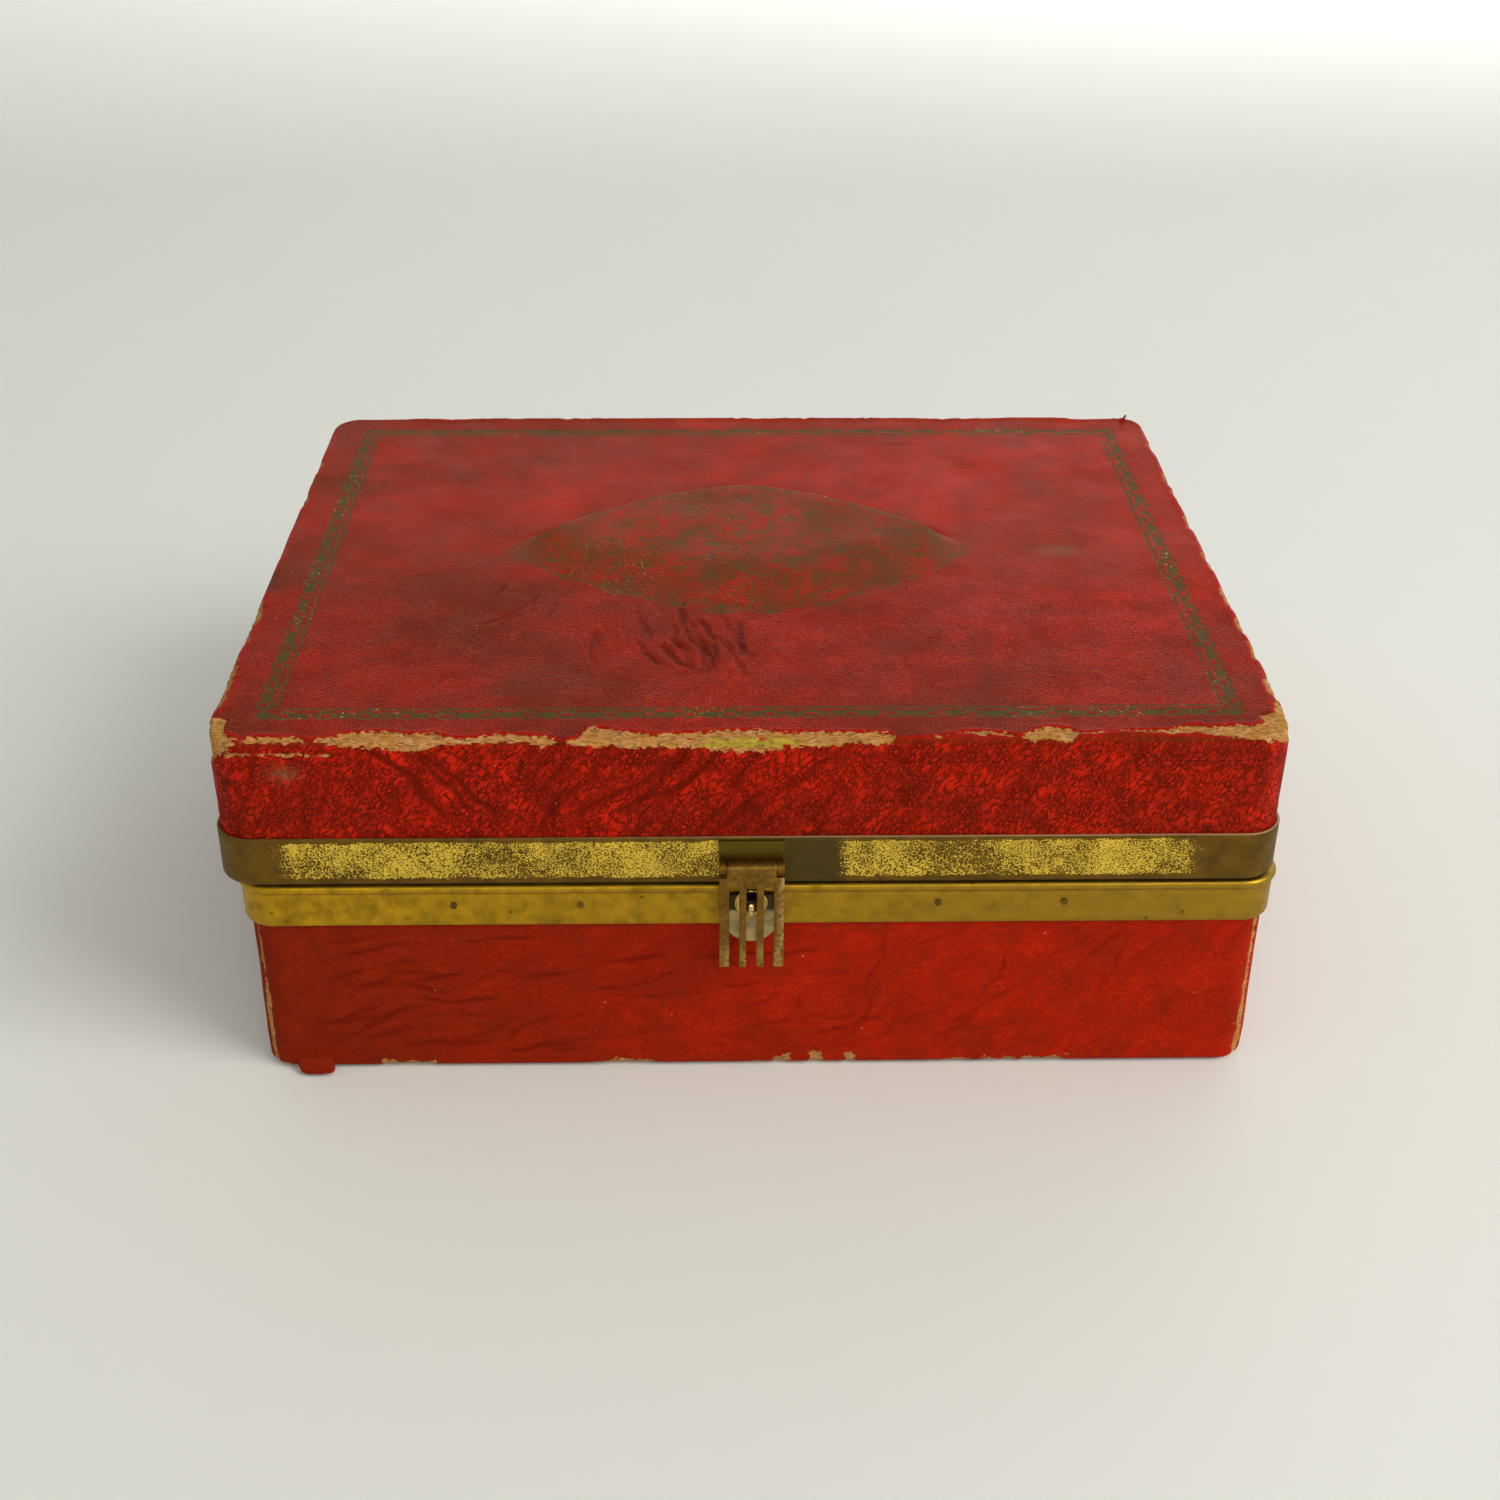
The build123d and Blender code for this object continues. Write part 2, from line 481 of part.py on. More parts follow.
def tray_dividers():
    """The long divider, the pair in the front row and the pair in the back row."""
    top = TRAY_TOP - DIVIDER_BELOW_RIM
    half_w, half_d, half_t = TRAY_INSIDE_W / 2, TRAY_INSIDE_D / 2, DIVIDER / 2
    long = block(-half_w, half_w, DIVIDER_Y - half_t, DIVIDER_Y + half_t, TRAY_FLOOR_TOP, top)
    front = [block(s * RING_SECTION_WIDTH / 2 - half_t, s * RING_SECTION_WIDTH / 2 + half_t, -half_d,
                   DIVIDER_Y - half_t, TRAY_FLOOR_TOP, top) for s in (-1, 1)]
    back = [block(s * BACK_DIVIDER_X - half_t, s * BACK_DIVIDER_X + half_t, DIVIDER_Y + half_t,
                  half_d, TRAY_FLOOR_TOP, top) for s in (-1, 1)]
    return long, front, back


def tray_tabs():
    """A ribbon tab inside each end wall, to lift the tray by."""
    top = TRAY_TOP + TAB_ABOVE_TRAY
    edge = TRAY_INSIDE_W / 2
    y = (DIVIDER_Y + TRAY_INSIDE_D / 2) / 2
    return [block(*sorted((s * edge, s * (edge - TAB_SHEET))), y - TAB_WIDTH / 2, y + TAB_WIDTH / 2,
                  top - TAB_LENGTH, top) for s in (-1, 1)]


def tray_ledges():
    """Two covered strips on the side linings that carry the tray."""
    edge = BODY_INSIDE_W / 2 - LINING
    half = BODY_INSIDE_D / 2 - LINING - TRAY_LEDGE_END_GAP
    z0 = TRAY_BOTTOM - TRAY_LEDGE_HEIGHT
    return {"left": block(-edge, -edge + TRAY_LEDGE_WIDTH, -half, half, z0, TRAY_BOTTOM),
            "right": block(edge - TRAY_LEDGE_WIDTH, edge, -half, half, z0, TRAY_BOTTOM)}


def cut_all(shape, tools):
    """shape with every tool taken out of it."""
    for tool in tools:
        shape = shape - tool
    return shape


def build():
    """Every node of the case, by name."""
    nodes = {}
    walls_top = RIM_HEIGHT - RIM_WEB
    walls_bottom = LID_RIM_BOTTOM + RIM_WEB
    pins = rim_pins()
    body_rivets, lid_rivets = hinge_rivets(0), hinge_rivets(1)
    knob = catch_knob()
    through_body = pins + body_rivets + [knob]

    body_boards = mitred_walls(BODY_WIDTH - 2 * LEATHER, BODY_DEPTH - 2 * LEATHER,
                               BODY_CORNER_R - LEATHER, BOARD, BOARD_BOTTOM, walls_top)
    for side, board in body_boards.items():
        nodes[f"body_board_{side}"] = cut_all(board, through_body)
    nodes["base_board"] = slab(BODY_INSIDE_W, BODY_INSIDE_D, BOARD_BOTTOM, BOARD_BOTTOM + BOARD)
    nodes["base_cover"] = slab(BODY_WIDTH - 2 * BASE_COVER_MARGIN, BODY_DEPTH - 2 * BASE_COVER_MARGIN,
                               0, BASE_COVER)
    nodes["body_leather"] = cut_all(body_leather(), through_body)
    nodes["body_rim"] = cut_all(body_rim(), through_body)
    nodes["body_rim_pins"] = Compound(children=pins)

    floor_top = BOARD_BOTTOM + BOARD
    flange_bottom = walls_top - INNER_FLANGE
    linings = wall_linings(BODY_INSIDE_W, BODY_INSIDE_D, floor_top, flange_bottom - LINING_GAP)
    for side, lining in linings.items():
        nodes[f"body_lining_{side}"] = lining
    nodes["floor_pad"] = pad(BODY_INSIDE_W, BODY_INSIDE_D, floor_top, floor_top + FLOOR_PAD, 1)
    for side, ledge in tray_ledges().items():
        nodes[f"tray_ledge_{side}"] = ledge

    lid_place = Pos(LID_SHIFT, 0, 0)
    lid_boards = mitred_walls(LID_WIDTH - 2 * LEATHER, LID_DEPTH - 2 * LEATHER,
                              LID_CORNER_R - LEATHER, BOARD, walls_bottom, LID_BOARD_TOP)
    for side, board in lid_boards.items():
        nodes[f"lid_board_{side}"] = lid_place * board
    nodes["lid_board_top"] = lid_place * slab(LID_INSIDE_W, LID_INSIDE_D, LID_BOARD_BOTTOM, LID_BOARD_TOP)
    nodes["lid_leather_sides"] = cut_all(lid_side_leather(), lid_rivets)
    nodes["lid_wadding"], nodes["lid_leather_top"] = lid_top()
    nodes["lid_rim"] = cut_all(lid_rim(), lid_rivets)
    inner_flange_top = walls_bottom + INNER_FLANGE
    linings = wall_linings(LID_INSIDE_W, LID_INSIDE_D, inner_flange_top + LINING_GAP, LID_BOARD_BOTTOM)
    for side, lining in linings.items():
        nodes[f"lid_lining_{side}"] = lid_place * lining
    nodes["lid_pad"] = lid_place * pad(LID_INSIDE_W, LID_INSIDE_D, LID_BOARD_BOTTOM - LID_PAD,
                                       LID_BOARD_BOTTOM, -1)

    for side, centre in (("left", -HINGE_X), ("right", HINGE_X)):
        nodes[f"hinge_leaf_body_{side}"] = cut_all(hinge_leaf(centre, 0), body_rivets)
        nodes[f"hinge_leaf_lid_{side}"] = cut_all(hinge_leaf(centre, 1), lid_rivets)
        reach = HINGE_WIDTH / 2 + HINGE_PIN_OVERHANG
        nodes[f"hinge_pin_{side}"] = rod(centre - reach, centre + reach, HINGE_Y, HINGE_Z, HINGE_PIN_R)
    nodes["hinge_rivets_body"] = Compound(children=body_rivets)
    nodes["hinge_rivets_lid"] = Compound(children=lid_rivets)

    nodes["hasp_leaf"] = hasp_leaf()
    nodes["hasp_pin"] = rod(CLASP_X - HASP_WIDTH / 2, CLASP_X + HASP_WIDTH / 2, HASP_AXIS_Y,
                            HASP_AXIS_Z, HASP_PIN_R)
    nodes["hasp"] = hasp_plate()
    nodes["hasp_clip"] = hasp_clip(nodes["hasp"])
    nodes["catch_plate"] = catch_plate() - knob
    nodes["catch_knob"] = knob

    tray_boards = mitred_walls(TRAY_W, TRAY_D, TRAY_CORNER_R, TRAY_WALL, TRAY_BOTTOM, TRAY_TOP)
    for side, board in tray_boards.items():
        nodes[f"tray_wall_{side}"] = board
    nodes["tray_floor"] = slab(TRAY_INSIDE_W, TRAY_INSIDE_D, TRAY_BOTTOM, TRAY_FLOOR_TOP)
    long, front, back = tray_dividers()
    nodes["tray_divider_long"] = long
    nodes["tray_dividers_front"] = Compound(children=front)
    nodes["tray_dividers_back"] = Compound(children=back)
    for k in range(RING_ROLLS):
        nodes[f"ring_roll_{k + 1}"] = ring_roll(k)
    nodes["tray_tabs"] = Compound(children=tray_tabs())
    return nodes


os.makedirs("parts", exist_ok=True)
for node, shape in build().items():
    export_step(shape, f"parts/{node}.step")
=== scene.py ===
import json
from itertools import product
from math import cos, pi, radians, sin

import bmesh
import bpy
import numpy as np
from mathutils import Matrix, Vector


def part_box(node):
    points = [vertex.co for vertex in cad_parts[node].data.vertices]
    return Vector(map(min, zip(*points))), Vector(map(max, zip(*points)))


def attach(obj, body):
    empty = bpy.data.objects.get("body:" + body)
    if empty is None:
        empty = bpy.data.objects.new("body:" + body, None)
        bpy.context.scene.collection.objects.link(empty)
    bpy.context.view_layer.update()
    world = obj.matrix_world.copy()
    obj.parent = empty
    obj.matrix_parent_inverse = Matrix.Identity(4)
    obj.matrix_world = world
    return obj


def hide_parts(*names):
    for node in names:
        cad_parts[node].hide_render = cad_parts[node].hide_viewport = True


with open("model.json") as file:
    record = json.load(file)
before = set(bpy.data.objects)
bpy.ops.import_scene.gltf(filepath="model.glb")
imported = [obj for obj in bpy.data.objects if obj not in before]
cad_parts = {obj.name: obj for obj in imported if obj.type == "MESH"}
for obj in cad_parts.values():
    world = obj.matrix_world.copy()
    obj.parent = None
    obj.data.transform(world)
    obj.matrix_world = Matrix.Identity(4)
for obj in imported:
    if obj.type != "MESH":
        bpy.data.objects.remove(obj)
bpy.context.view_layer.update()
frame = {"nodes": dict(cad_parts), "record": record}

# A worn leather jewellery case with brass rims. Sizes are in millimetres in the CAD frame and become
# metres when a mesh is made: X to the right, Y to the back, Z up, origin under the middle of the body.

MM = 0.001

TOP_LEATHER = 0.8           # thickness of the lid's top leather
LID_CORNER_R = 8.0
BODY_CORNER_R = 7.0
LID_EDGE_R = 1.4            # the lid's top edge, over the board
BODY_EDGE_R = 1.3
SEAM_DOWN = 6.2             # the top leather ends this far below its top
TURN_IN = 12.0              # body leather under the base
TURN_IN_CORNER_R = 0.4
LEATHER = 1.0
BOARD = 4.0
GRID_STEP = 0.8             # spacing of the leather's points
FRONT_STEP = 0.35           # the same along the lid's front edge, where it is torn
UNTORN = -20.0              # distance into a tear for points that are nowhere near one

MEDALLION_RISE = 2.4
BORDER_LINE_IN = 14.0       # gilt line, in from the lid's edges
BORDER_BAND_IN = 11.4       # middle of the gilt band
BORDER_PERIOD = 9.0

LID_RIM_SHEET = 0.8
BODY_RIM_SHEET = 1.2
RIM_INNER_SHEET = 0.8
RIM_WEB = 1.2               # height of the web that joins a rim's outer face to its inner flange
RIM_FLANGE = 4.5
RIM_ROLL_R = 1.15
RIM_INNER_R = 0.4
BODY_BEAD_PROUD = 0.7
FULL_SHADE_DEPTH = 0.34     # a fold this deep is fully dark


def box_mm(node):
    """Lowest and highest corners of a CAD node in millimetres."""
    low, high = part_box(node)
    return np.array(low) / MM, np.array(high) / MM


# ---- noise and creases ------------------------------------------------------------------------

def lattice_noise(points, seed):
    """Smooth noise from -1 to 1, one bump to a unit, at points of shape (n, 2) or (n, 3)."""
    points = np.asarray(points, float)
    if points.shape[1] == 2:
        points = np.column_stack([points, np.zeros(len(points))])
    base = np.floor(points).astype(np.int64)
    part = points - base
    part = part ** 3 * (part * (part * 6 - 15) + 10)
    total = np.zeros(len(points))
    for corner in product((0, 1), repeat=3):
        at = base + np.array(corner)
        key = at[:, 0] * 73856093 ^ at[:, 1] * 19349663 ^ at[:, 2] * 83492791 ^ seed * 2654435761
        key = (key ^ (key >> 13)) * 1274126177 & 0x7FFFFFFF
        value = ((key ^ (key >> 15)) & 0xFFFF) / 32767.5 - 1
        total += value * np.prod(np.where(corner, part, 1 - part), axis=1)
    return total


def fractal(points, size, seed, octaves=3):
    """Noise from about -1 to 1 whose largest bumps are size across."""
    total = 0
    for octave in range(octaves):
        scale = 2 ** octave
        total = total + lattice_noise(np.asarray(points) * scale / size, seed + octave) / scale
    return total


def smoothstep(value, low, high):
    share = np.clip((value - low) / (high - low), 0, 1)
    return share * share * (3 - 2 * share)


def bell(value, width):
    return np.exp(-(value / width) ** 2)


def creases(flat, seed, count, area, angle, spread, length, width, depth):
    """Folds scattered over an area of flat coordinates (n, 2): returns height and valley shade.

    area is (x0, y0, x1, y1). angle and spread are in degrees. length, width and depth are
    (smallest, largest). A fold is a valley between two soft shoulders, and it wanders a little."""
    rng = np.random.default_rng(seed)
    bent = flat + 1.6 * np.column_stack([fractal(flat, 14, seed + 1), fractal(flat, 14, seed + 5)])
    height = np.zeros(len(flat))
    shade = np.zeros(len(flat))
    for _ in range(count):
        middle = rng.uniform(area[:2], area[2:])
        turn = radians(angle + rng.uniform(-spread, spread))
        half = rng.uniform(*length) / 2
        wide = rng.uniform(*width)
        deep = rng.uniform(*depth)
        near = np.nonzero(np.abs(bent - middle).max(axis=1) < half + 4 * wide)[0]
        away = bent[near] - middle
        along = away @ np.array([cos(turn), sin(turn)])
        across = away @ np.array([-sin(turn), cos(turn)])
        end = 1 - smoothstep(np.abs(along), 0.5 * half, half)
        valley = bell(across, wide) * end
        shoulder = bell(np.abs(across) - 1.9 * wide, 1.1 * wide) * end
        height[near] += deep * (0.5 * shoulder - valley)
        shade[near] = np.maximum(shade[near], valley * deep / FULL_SHADE_DEPTH)
    return height, shade


def add_folds(height, shade, families, flat, share):
    """Adds families of folds, each given as creases() takes it, to height and shade, by their share."""
    used = np.nonzero(share)[0]
    for family in families:
        fold, dark = creases(flat[used], *family)
        height[used] += fold * share[used]
        shade[used] = np.maximum(shade[used], dark * share[used])


# ---- meshes --------------------------------------------------------------------------------------

def make_piece(name, points, faces, material, body, replaces=(), attributes=None):
    """A smooth mesh piece from points in millimetres.

    attributes are named values, one to a point. Points left over at the end are untorn, and 0 otherwise."""
    mesh = bpy.data.meshes.new(name)
    mesh.from_pydata((np.asarray(points) * MM).tolist(), [], faces)
    for key, given in (attributes or {}).items():
        values = np.full(len(points), UNTORN if key == "torn" else 0.0, np.float32)
        values[:len(given)] = given
        mesh.attributes.new(key, "FLOAT", "POINT").data.foreach_set("value", values)
    mesh.materials.append(material)
    mesh.shade_smooth()
    mesh.validate()
    piece = bpy.data.objects.new(name, mesh)
    bpy.context.collection.objects.link(piece)
    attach(piece, body)
    if replaces:
        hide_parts(*replaces)
    return piece


def ring_faces(first, second):
    """Quads between two closed loops of point numbers, the first above or outside the second."""
    count = len(first)
    return [(first[i], second[i], second[(i + 1) % count], first[(i + 1) % count]) for i in range(count)]


def ring(number, count):
    """Point numbers of one of several rings of count points each."""
    return range(number * count, (number + 1) * count)


def wrapped_faces(rings, count):
    """Faces over stacked rings, the last of which joins the first."""
    return [face for k in range(rings) for face in ring_faces(ring(k, count), ring((k + 1) % rings, count))]


def lathe_faces(rings, count, closed=True):
    """Faces over stacked rings, with a cap on the first, and on the last where closed."""
    caps = [tuple(ring(0, count))] + [tuple(reversed(ring(rings - 1, count)))] * closed
    return caps + [face for k in range(rings - 1)
                   for face in ring_faces(ring(k + 1, count), ring(k, count))]


def grid_faces(columns, rows):
    """Quads of a grid of points in rows, and the point numbers round its edge."""
    number = np.arange(columns * rows).reshape(rows, columns)
    corners = number[:-1, :-1], number[:-1, 1:], number[1:, 1:], number[1:, :-1]
    quads = np.column_stack([corner.ravel() for corner in corners]).tolist()
    edge = np.concatenate([number[0, :-1], number[:-1, -1], number[-1, :0:-1], number[:0:-1, 0]])
    return [tuple(quad) for quad in quads], edge.tolist()


def at_height(flat, z):
    """Flat points (n, 2) lifted to a height."""
    return np.column_stack([flat, np.full(len(flat), z)])


def rounded_loop(half_x, half_y, radius, step):
    """A rounded rectangle about the origin, anticlockwise: points and outward normals, (n, 2) each."""
    points, normals = [], []
    arc_steps = max(6, round(radius * pi / 2 / step))
    sides = (((1, 0), half_x, half_y), ((0, 1), half_y, half_x),
             ((-1, 0), half_x, half_y), ((0, -1), half_y, half_x))
    for normal, reach, side in sides:
        tangent = np.array([-normal[1], normal[0]])
        normal = np.array(normal)
        straight = side - radius
        steps = round(2 * straight / step)
        for i in range(steps):
            points.append(normal * reach + tangent * (-straight + 2 * straight * i / steps))
            normals.append(normal)
        centre = normal * (reach - radius) + tangent * straight
        for i in range(arc_steps):
            angle = pi / 2 * i / arc_steps
            out = normal * cos(angle) + tangent * sin(angle)
            points.append(centre + out * radius)
            normals.append(out)
    return np.array(points), np.array(normals)


def swept_rim(half, radius, centre_x, profile, seed, dent):
    """Points and faces of a closed profile carried round a rounded rectangle.

    profile is a list of (offset outward, height). dent is how far the sheet wanders."""
    loop, normals = rounded_loop(half[0], half[1], radius, 1.0)
    wave = dent * fractal(loop, 30, seed, 2)
    points = []
    for offset, height in profile:
        lean = dent * fractal(at_height(loop, height * 3), 22, seed + 9, 2)
        place = loop + normals * offset + normals * (wave + 0.5 * lean)[:, None]
        points.append(np.column_stack([place[:, 0] + centre_x, place[:, 1], height + 0.35 * wave]))
    return np.vstack(points), wrapped_faces(len(profile), len(loop))


def arc_profile(centre, radius, start, end, steps):
    """Points of an arc in (offset, height), with angles in degrees from outward towards up."""
    turns = np.radians(np.linspace(start, end, steps))
    return [(centre[0] + radius * cos(t), centre[1] + radius * sin(t)) for t in turns]


def straight_profile(start, end, steps):
    """Points along a straight run of a profile, without its end."""
    start, end = np.array(start), np.array(end)
    return [tuple(start + (end - start) * i / steps) for i in range(steps)]


def thicken(piece, thickness, offset=0.0):
    """Gives a sheet its thickness, to both sides of it, or to its back where offset is -1."""
    sheet = piece.modifiers.new("sheet", "SOLIDIFY")
    sheet.thickness = thickness * MM
    sheet.offset = offset


def soften(piece):
    smooth = piece.modifiers.new("smooth", "SUBSURF")
    smooth.levels = smooth.render_levels = 1


def break_edges(piece, width):
    """Rounds a hard piece's edges with a small bevel."""
    bevel = piece.modifiers.new("broken edges", "BEVEL")
    bevel.width = width * MM
    bevel.segments = 2
    bevel.limit_method = "ANGLE"
    bevel.angle_limit = radians(38)


# ---- materials -----------------------------------------------------------------------------------

def arithmetic(operation, swapped=False):
    """A method that adds a math node for a signal and another value."""
    return lambda signal, other: signal.shader.math(
        operation, *((other, signal) if swapped else (signal, other)))


class Signal:
    """A value that a node gives. Arithmetic on it adds math nodes."""

    def __init__(self, shader, socket):
        self.shader, self.socket = shader, socket

    __add__, __sub__, __rsub__ = arithmetic("ADD"), arithmetic("SUBTRACT"), arithmetic("SUBTRACT", True)
    __mul__, __truediv__, __pow__ = arithmetic("MULTIPLY"), arithmetic("DIVIDE"), arithmetic("POWER")
    max, min, below = arithmetic("MAXIMUM"), arithmetic("MINIMUM"), arithmetic("LESS_THAN")

    def __abs__(self):
        return self.shader.math("ABSOLUTE", self)

    def fract(self):
        return self.shader.math("FRACT", self)

    def fit(self, low, high, to_low=0.0, to_high=1.0, kind="LINEAR"):
        """The value carried from one range to another, and held there."""
        inputs = {"Value": self, "From Min": low, "From Max": high, "To Min": to_low, "To Max": to_high}
        return self.shader.node("MapRange", inputs, "Result", interpolation_type=kind)


class Shader:
    """A node material. Values are numbers, colours or signals, and sizes are in millimetres."""

    def __init__(self, name, **constants):
        self.material = bpy.data.materials.new(name)
        self.material.use_nodes = True
        self.nodes, self.links = self.material.node_tree.nodes, self.material.node_tree.links
        self.surface = self.nodes["Principled BSDF"]
        self.set(**constants)
        self.place = self.node("TexCoord", {}, "Object")

    def set(self, **inputs):
        for key, value in inputs.items():
            self.put(self.surface.inputs[key.replace("_", " ")], value)

    def put(self, socket, value):
        if isinstance(value, Signal):
            self.links.new(value.socket, socket)
        elif isinstance(value, tuple) and len(value) == 3 and socket.type == "RGBA":
            socket.default_value = (*value, 1)
        else:
            socket.default_value = value

    def node(self, kind, inputs, output=0, **settings):
        """Adds a node, and gives one of its outputs."""
        node = self.nodes.new("ShaderNode" + kind)
        for key, value in settings.items():
            setattr(node, key, value)
        for key, value in inputs.items():
            self.put(node.inputs[key], value)
        return Signal(self, node.outputs[output])

    def math(self, operation, *values):
        return self.node("Math", dict(enumerate(values)), operation=operation)

    def hypot(self, x, y):
        return self.math("SQRT", x ** 2.0 + y ** 2.0)

    def vector(self, operation, first, second):
        return self.node("VectorMath", {0: first, 1: second}, operation=operation)

    def axes(self, place=None):
        first = self.node("SeparateXYZ", {0: place or self.place})
        return [Signal(self, socket) for socket in first.socket.node.outputs]

    def attribute(self, name):
        return self.node("Attribute", {}, "Fac", attribute_name=name)

    def noise(self, size, detail=2.0, at=None, distortion=0.0):
        inputs = {"Vector": at or self.place, "Scale": 1 / (size * MM), "Detail": detail,
                  "Roughness": 0.55, "Distortion": distortion}
        return self.node("TexNoise", inputs, "Fac")

    def cells(self, size, feature="F1", at=None, output="Distance", randomness=1.0):
        inputs = {"Vector": at or self.place, "Scale": 1 / (size * MM), "Randomness": randomness}
        return self.node("TexVoronoi", inputs, output, feature=feature)

    def stretched(self, x, y, z):
        """The place with each axis multiplied."""
        return self.vector("MULTIPLY", self.place, (x, y, z))

    def mix(self, share, first, second):
        return self.node("Mix", {0: share, 6: first, 7: second}, 2, data_type="RGBA", blend_type="MIX")

    def bump(self, height, distance, strength=1.0):
        inputs = {"Height": height, "Distance": distance * MM, "Strength": strength}
        return self.node("Bump", inputs, "Normal")

    def finish(self, colour, **inputs):
        self.set(Base_Color=colour, **inputs)
        return self.material


RED = (0.66, 0.0150, 0.0026)
DULL_RED = (0.42, 0.014, 0.0032)
DEEP_RED = (0.085, 0.006, 0.0015)
BRIGHT_RED = (0.40, 0.007, 0.003)
SHADED_RED = (0.20, 0.017, 0.003)
SOIL_AND_SHADE = (0.145, 0.022, 0.004)
TAN_PAPER = (0.50, 0.21, 0.035)
PALE_PAPER = (0.60, 0.29, 0.100)
PAPER_FIBRE = (0.19, 0.085, 0.03)
STRAW = (0.46, 0.32, 0.035)
TARNISH = (0.052, 0.060, 0.011)
GILT = (0.80, 0.50, 0.10)
PALE_SPECK = (0.42, 0.22, 0.15)
DUST_AND_HIGHLIGHT = (0.19, 0.095, 0.045)
DARK_PATINA = (0.060, 0.042, 0.007)
DULL_BRASS = (0.30, 0.180, 0.020)
PIT = (0.05, 0.03, 0.01)
HIGHLIGHT_BRASS = (0.60, 0.32, 0.20)


def dim(colour, share):
    return tuple(share * c for c in colour)


def leather_grain(shader, lean, stretch, size):
    """Crushed grain: 1 on the raised pebbles and 0 in the valleys between them.

    On the upright faces the pebbles lean by an angle in degrees and are drawn out along it.
    size is 1 for the coarsest grain."""
    turned = shader.node("VectorRotate", {"Vector": shader.place, "Angle": radians(lean)},
                         rotation_type="Y_AXIS")
    drawn = shader.vector("MULTIPLY", turned, (stretch, 1.0, 1.0))
    push = shader.node("TexNoise", {"Vector": drawn, "Scale": 1 / (3.4 * MM)}, "Color")
    centred = shader.vector("SUBTRACT", push, (0.5, 0.5, 0.5))
    bent = shader.vector("ADD", drawn, shader.vector("MULTIPLY", centred, (1.6 * MM,) * 3))
    worms = abs(shader.noise(1.7 * size, 1.5, bent) - 0.5).fit(0.006, 0.105, kind="SMOOTHSTEP")
    pebbles = shader.cells(1.15 * size, "DISTANCE_TO_EDGE", bent).fit(0.03, 0.36, kind="SMOOTHSTEP")
    choice = shader.noise(6.0).fit(0.42, 0.58)
    return worms * (1.0 - choice) + pebbles * choice


def leather_colour(shader, grain, crease, soil_and_shade_share, fold_shade, handling_and_shade=None):
    """Red with dark valleys, brown soil in drifts, painted shade along the creases and pale specks.

    handling_and_shade is the share of SHADED_RED in the base: painted shade, darker towards the left."""
    base = shader.mix(shader.noise(9.0, 2.0).fit(0.35, 0.7), RED, DULL_RED)
    # Brown soil in drifts; on the lid's top its share also carries painted shade.
    base = shader.mix(shader.noise(38.0, 3.0).fit(0.34, 0.70, 0.45, 1.0) * soil_and_shade_share, base, SOIL_AND_SHADE)
    if handling_and_shade:
        base = shader.mix(handling_and_shade, base, SHADED_RED)
    dark = (1.0 - grain) * shader.noise(5.0).fit(0.3, 0.65, 0.80, 1.0)
    dark = dark.max(crease.fit(0.08, 0.75, 0.0, fold_shade))
    dark = dark * shader.noise(0.55, 2.0).fit(0.35, 0.68).fit(0, 1, 0.8, 1.0)
    speck = shader.cells(6.0).fit(0.035, 0.055, 1.0, 0.0) * shader.noise(17.0).fit(0.50, 0.60, 0.0, 0.7)
    return shader.mix(speck, shader.mix(dark, base, DEEP_RED), PALE_SPECK)


def paper_colour(shader, straw):
    """Torn paper with fibres, yellow strawboard where straw is 1."""
    fibre = shader.noise(0.5, 3.0, shader.stretched(0.35, 1.0, 1.0), 0.6)
    tone = shader.mix(shader.noise(4.0, 2.0).fit(0.35, 0.65), TAN_PAPER, PALE_PAPER)
    tone = shader.mix(straw, tone, STRAW)
    return shader.mix(fibre.fit(0.40, 0.56, 0.75, 0.0), tone, PAPER_FIBRE)


def lid_leather_material():
    shader = Shader("lid leather", Specular_IOR_Level=0.035, Sheen_Weight=0.008, Sheen_Roughness=0.35)
    valley = (1.0 - leather_grain(shader, 52, 0.48, 0.72)) * shader.attribute("pebbled")
    grain = 1.0 - valley
    colour = leather_colour(shader, grain, shader.attribute("crease"), shader.attribute("soil_and_shade"), 0.85)
    # Grey dust marks, and a painted highlight along the medallion's raised back edge.
    dust_and_highlight_share = shader.attribute("dust_and_highlight") * shader.noise(1.6, 3.0).fit(0.35, 0.6, 0.2, 0.75)
    colour = shader.mix(dust_and_highlight_share, colour, DUST_AND_HIGHLIGHT)
    gilt, gold = gilt_pattern(shader)
    colour = shader.mix(gilt * 0.86, colour, shader.mix(gold, TARNISH, GILT))

    ragged = shader.noise(0.8, 4.0, shader.stretched(0.55, 1.0, 1.0)) - 0.5
    torn_at = shader.attribute("torn") + ragged * 2.9
    torn = torn_at.fit(-0.05, 0.07)
    colour = shader.mix(shader.attribute("lip") * torn_at.fit(-1.5, -0.3), colour, BRIGHT_RED)
    straw = (shader.attribute("straw") + ragged * 1.2).fit(0.35, 0.6)
    colour = shader.mix(torn, colour, paper_colour(shader, straw))

    height = grain * (1.0 - torn) + shader.noise(0.35, 3.0) * 0.35 - gilt * 0.4
    rough = shader.noise(14.0, 3.0).fit(0.35, 0.7, 0.40, 0.56) + (1.0 - grain) * 0.15
    return shader.finish(colour, Roughness=rough.max(torn * 0.9), Normal=shader.bump(height, 0.26))


